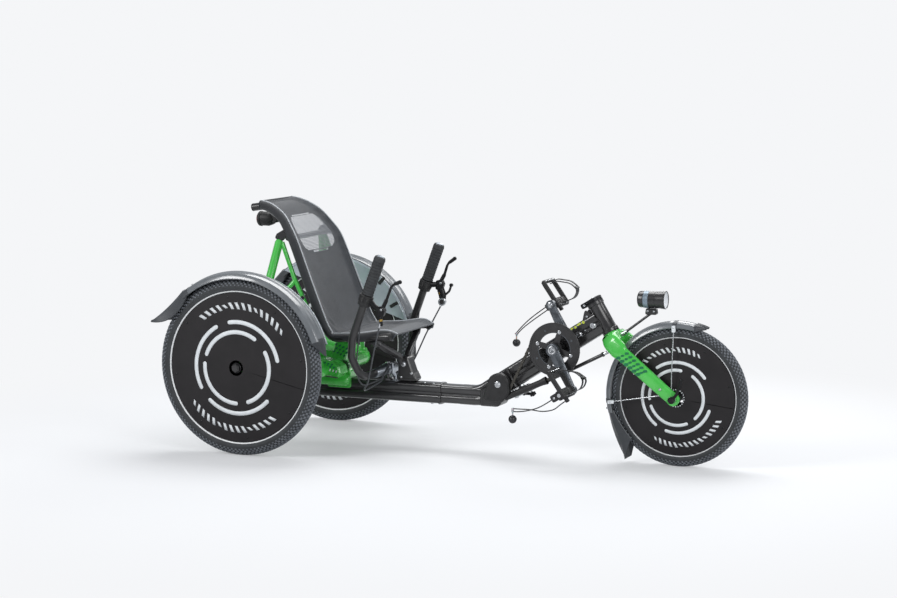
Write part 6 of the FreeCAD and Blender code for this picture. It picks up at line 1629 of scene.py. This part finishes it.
# Section of the webbing: flat, with rounded selvedges
WEB_SECTION = [(-1, -0.6), (-0.92, -1), (0.92, -1), (1, -0.6), (1, 0.6), (0.92, 1), (-0.92, 1), (-1, 0.6)]
BALL_RADIUS = 11.5
CLIP_ENDS, BALLS = {}, {}
# Pull balls: cords' end from the clip, the way the ferrule faces, spacing of its two strands
FERRULES = {RIGHT: ((-112, 0, -36), 180, 8), LEFT: ((-90, 0, -76), 231.3, 4.4)}
for side, hand in SIDES:
    out = SIDEWAYS * hand
    pedal = CRANK + CRANK_RUNS[hand] * CRANK_LENGTH + out * PEDAL_OUT

    def on_pedal(forward, sideways, rise):
        """Place by the pedal's own directions."""
        return pedal + FOOT * forward + FOOT_UP * rise + out * sideways

    work = Work("pedal_" + side, NYLON, BRIGHT_STEEL)
    work.turn([(-14, 5.8), (8, 5.8), (9, 7.4), (12, 7.4), (13, 5.8), (98, 5.4)], pedal, out, 24, 1)
    core = oblong(11, 13, 6)
    work.plate(core, on_pedal(0, 54, 0), 72, 2, along=FOOT)
    for shift in (-30, -10, 10, 30):
        work.plate([(x * 1.07, z * 1.06) for x, z in core], on_pedal(0, 54 + shift, 0), 6, 0.8, along=FOOT)
    for sideways in (15, 93):
        low, high = on_pedal(8, sideways, -12), on_pedal(8, sideways, 69)
        upright_oval(work, [low.lerp(high, k / 8) for k in range(9)], [12] + [13.4] * 7 + [12],
                     [9] + [11] * 7 + [9], 20)
    for rise in (-11, 67):
        near, far = on_pedal(8, 13, rise), on_pedal(8, 95, rise)
        work.tube([near, near.lerp(far, 0.04), near.lerp(far, 0.96), far], [4, 5.6, 5.6, 4], 18)
        for k in range(5):
            work.turn([(0, 1.5), (2.4, 1.2)], on_pedal(13.4, 26 + 14 * k, rise), FOOT, 8, 1)
    clip = CLIP_SIDE[hand]
    work.plate(oblong(10, 10, 4), on_pedal(-18, clip, 2), 18, 2, along=FOOT)
    work.plate(oblong(4.5, 7, 2), on_pedal(7.5, clip, -20), 12, 1, along=FOOT)
    work.bolt(on_pedal(-18, clip + 9, 2), out, 3.4, 2, 1)
    CLIP_ENDS[hand] = on_pedal(-28, clip, 2)
    work.piece("pedal_" + side, "pedal_" + side, slot="black_plastic")

    work = Work("foot_strap_" + side, WEBBING, ANODISED)
    for sideways, lift in ((44, 0), (64, 5)):
        corners = [(13, 56 + lift), (34, 52 + lift), (64, 26 + lift), (74, -2 + lift), (52, -16), (13, -8)]
        route = bent([on_pedal(forward, sideways, rise) for forward, rise in corners], [16, 36, 22, 24], 8)
        work.skin([[point + SIDEWAYS * x * 4.6 + run.cross(SIDEWAYS) * z * 1.2 for x, z in WEB_SECTION]
                   for point, run in zip(route, runs(route))])
    work.plate(oblong(15, 5, 3), on_pedal(71, 54, 6), 3.4, 0.8, 1,
               along=SIDEWAYS, face=FOOT * 0.94 + FOOT_UP * 0.34)
    work.piece("pedal_" + side, "foot_strap_" + side, angle=50, slot="black_plastic")

for side, hand in SIDES:
    work = Work("pull_ball_" + side + "_rubber", BALL_RUBBER, FROSTED)
    offset, degrees, spacing = FERRULES[hand]
    along = in_plane(degrees)
    middle = CLIP_ENDS[hand] + Vector(offset) + along * 3
    work.plate(oblong(3, (spacing + 5) / 2, 2, 6), middle, 7, 1, 1, along=along)
    work.turn([(0, 2.0), (2, 2.4), (14, 1.8)], middle, -UP, 14, 1)
    ball = middle - UP * 25.5
    angles = [math.radians(-88 + 176 * step / 18) for step in range(19)]
    work.turn([(BALL_RADIUS * math.sin(angle), BALL_RADIUS * math.cos(angle)) for angle in angles],
              ball, UP, 36)
    work.turn([(-0.7, 11.4), (0, 11.75), (0.7, 11.4)], ball, UP, 36)
    BALLS[side] = work.piece("pedal_" + side, "pull_ball_" + side, angle=50, slot="grip_rubber")
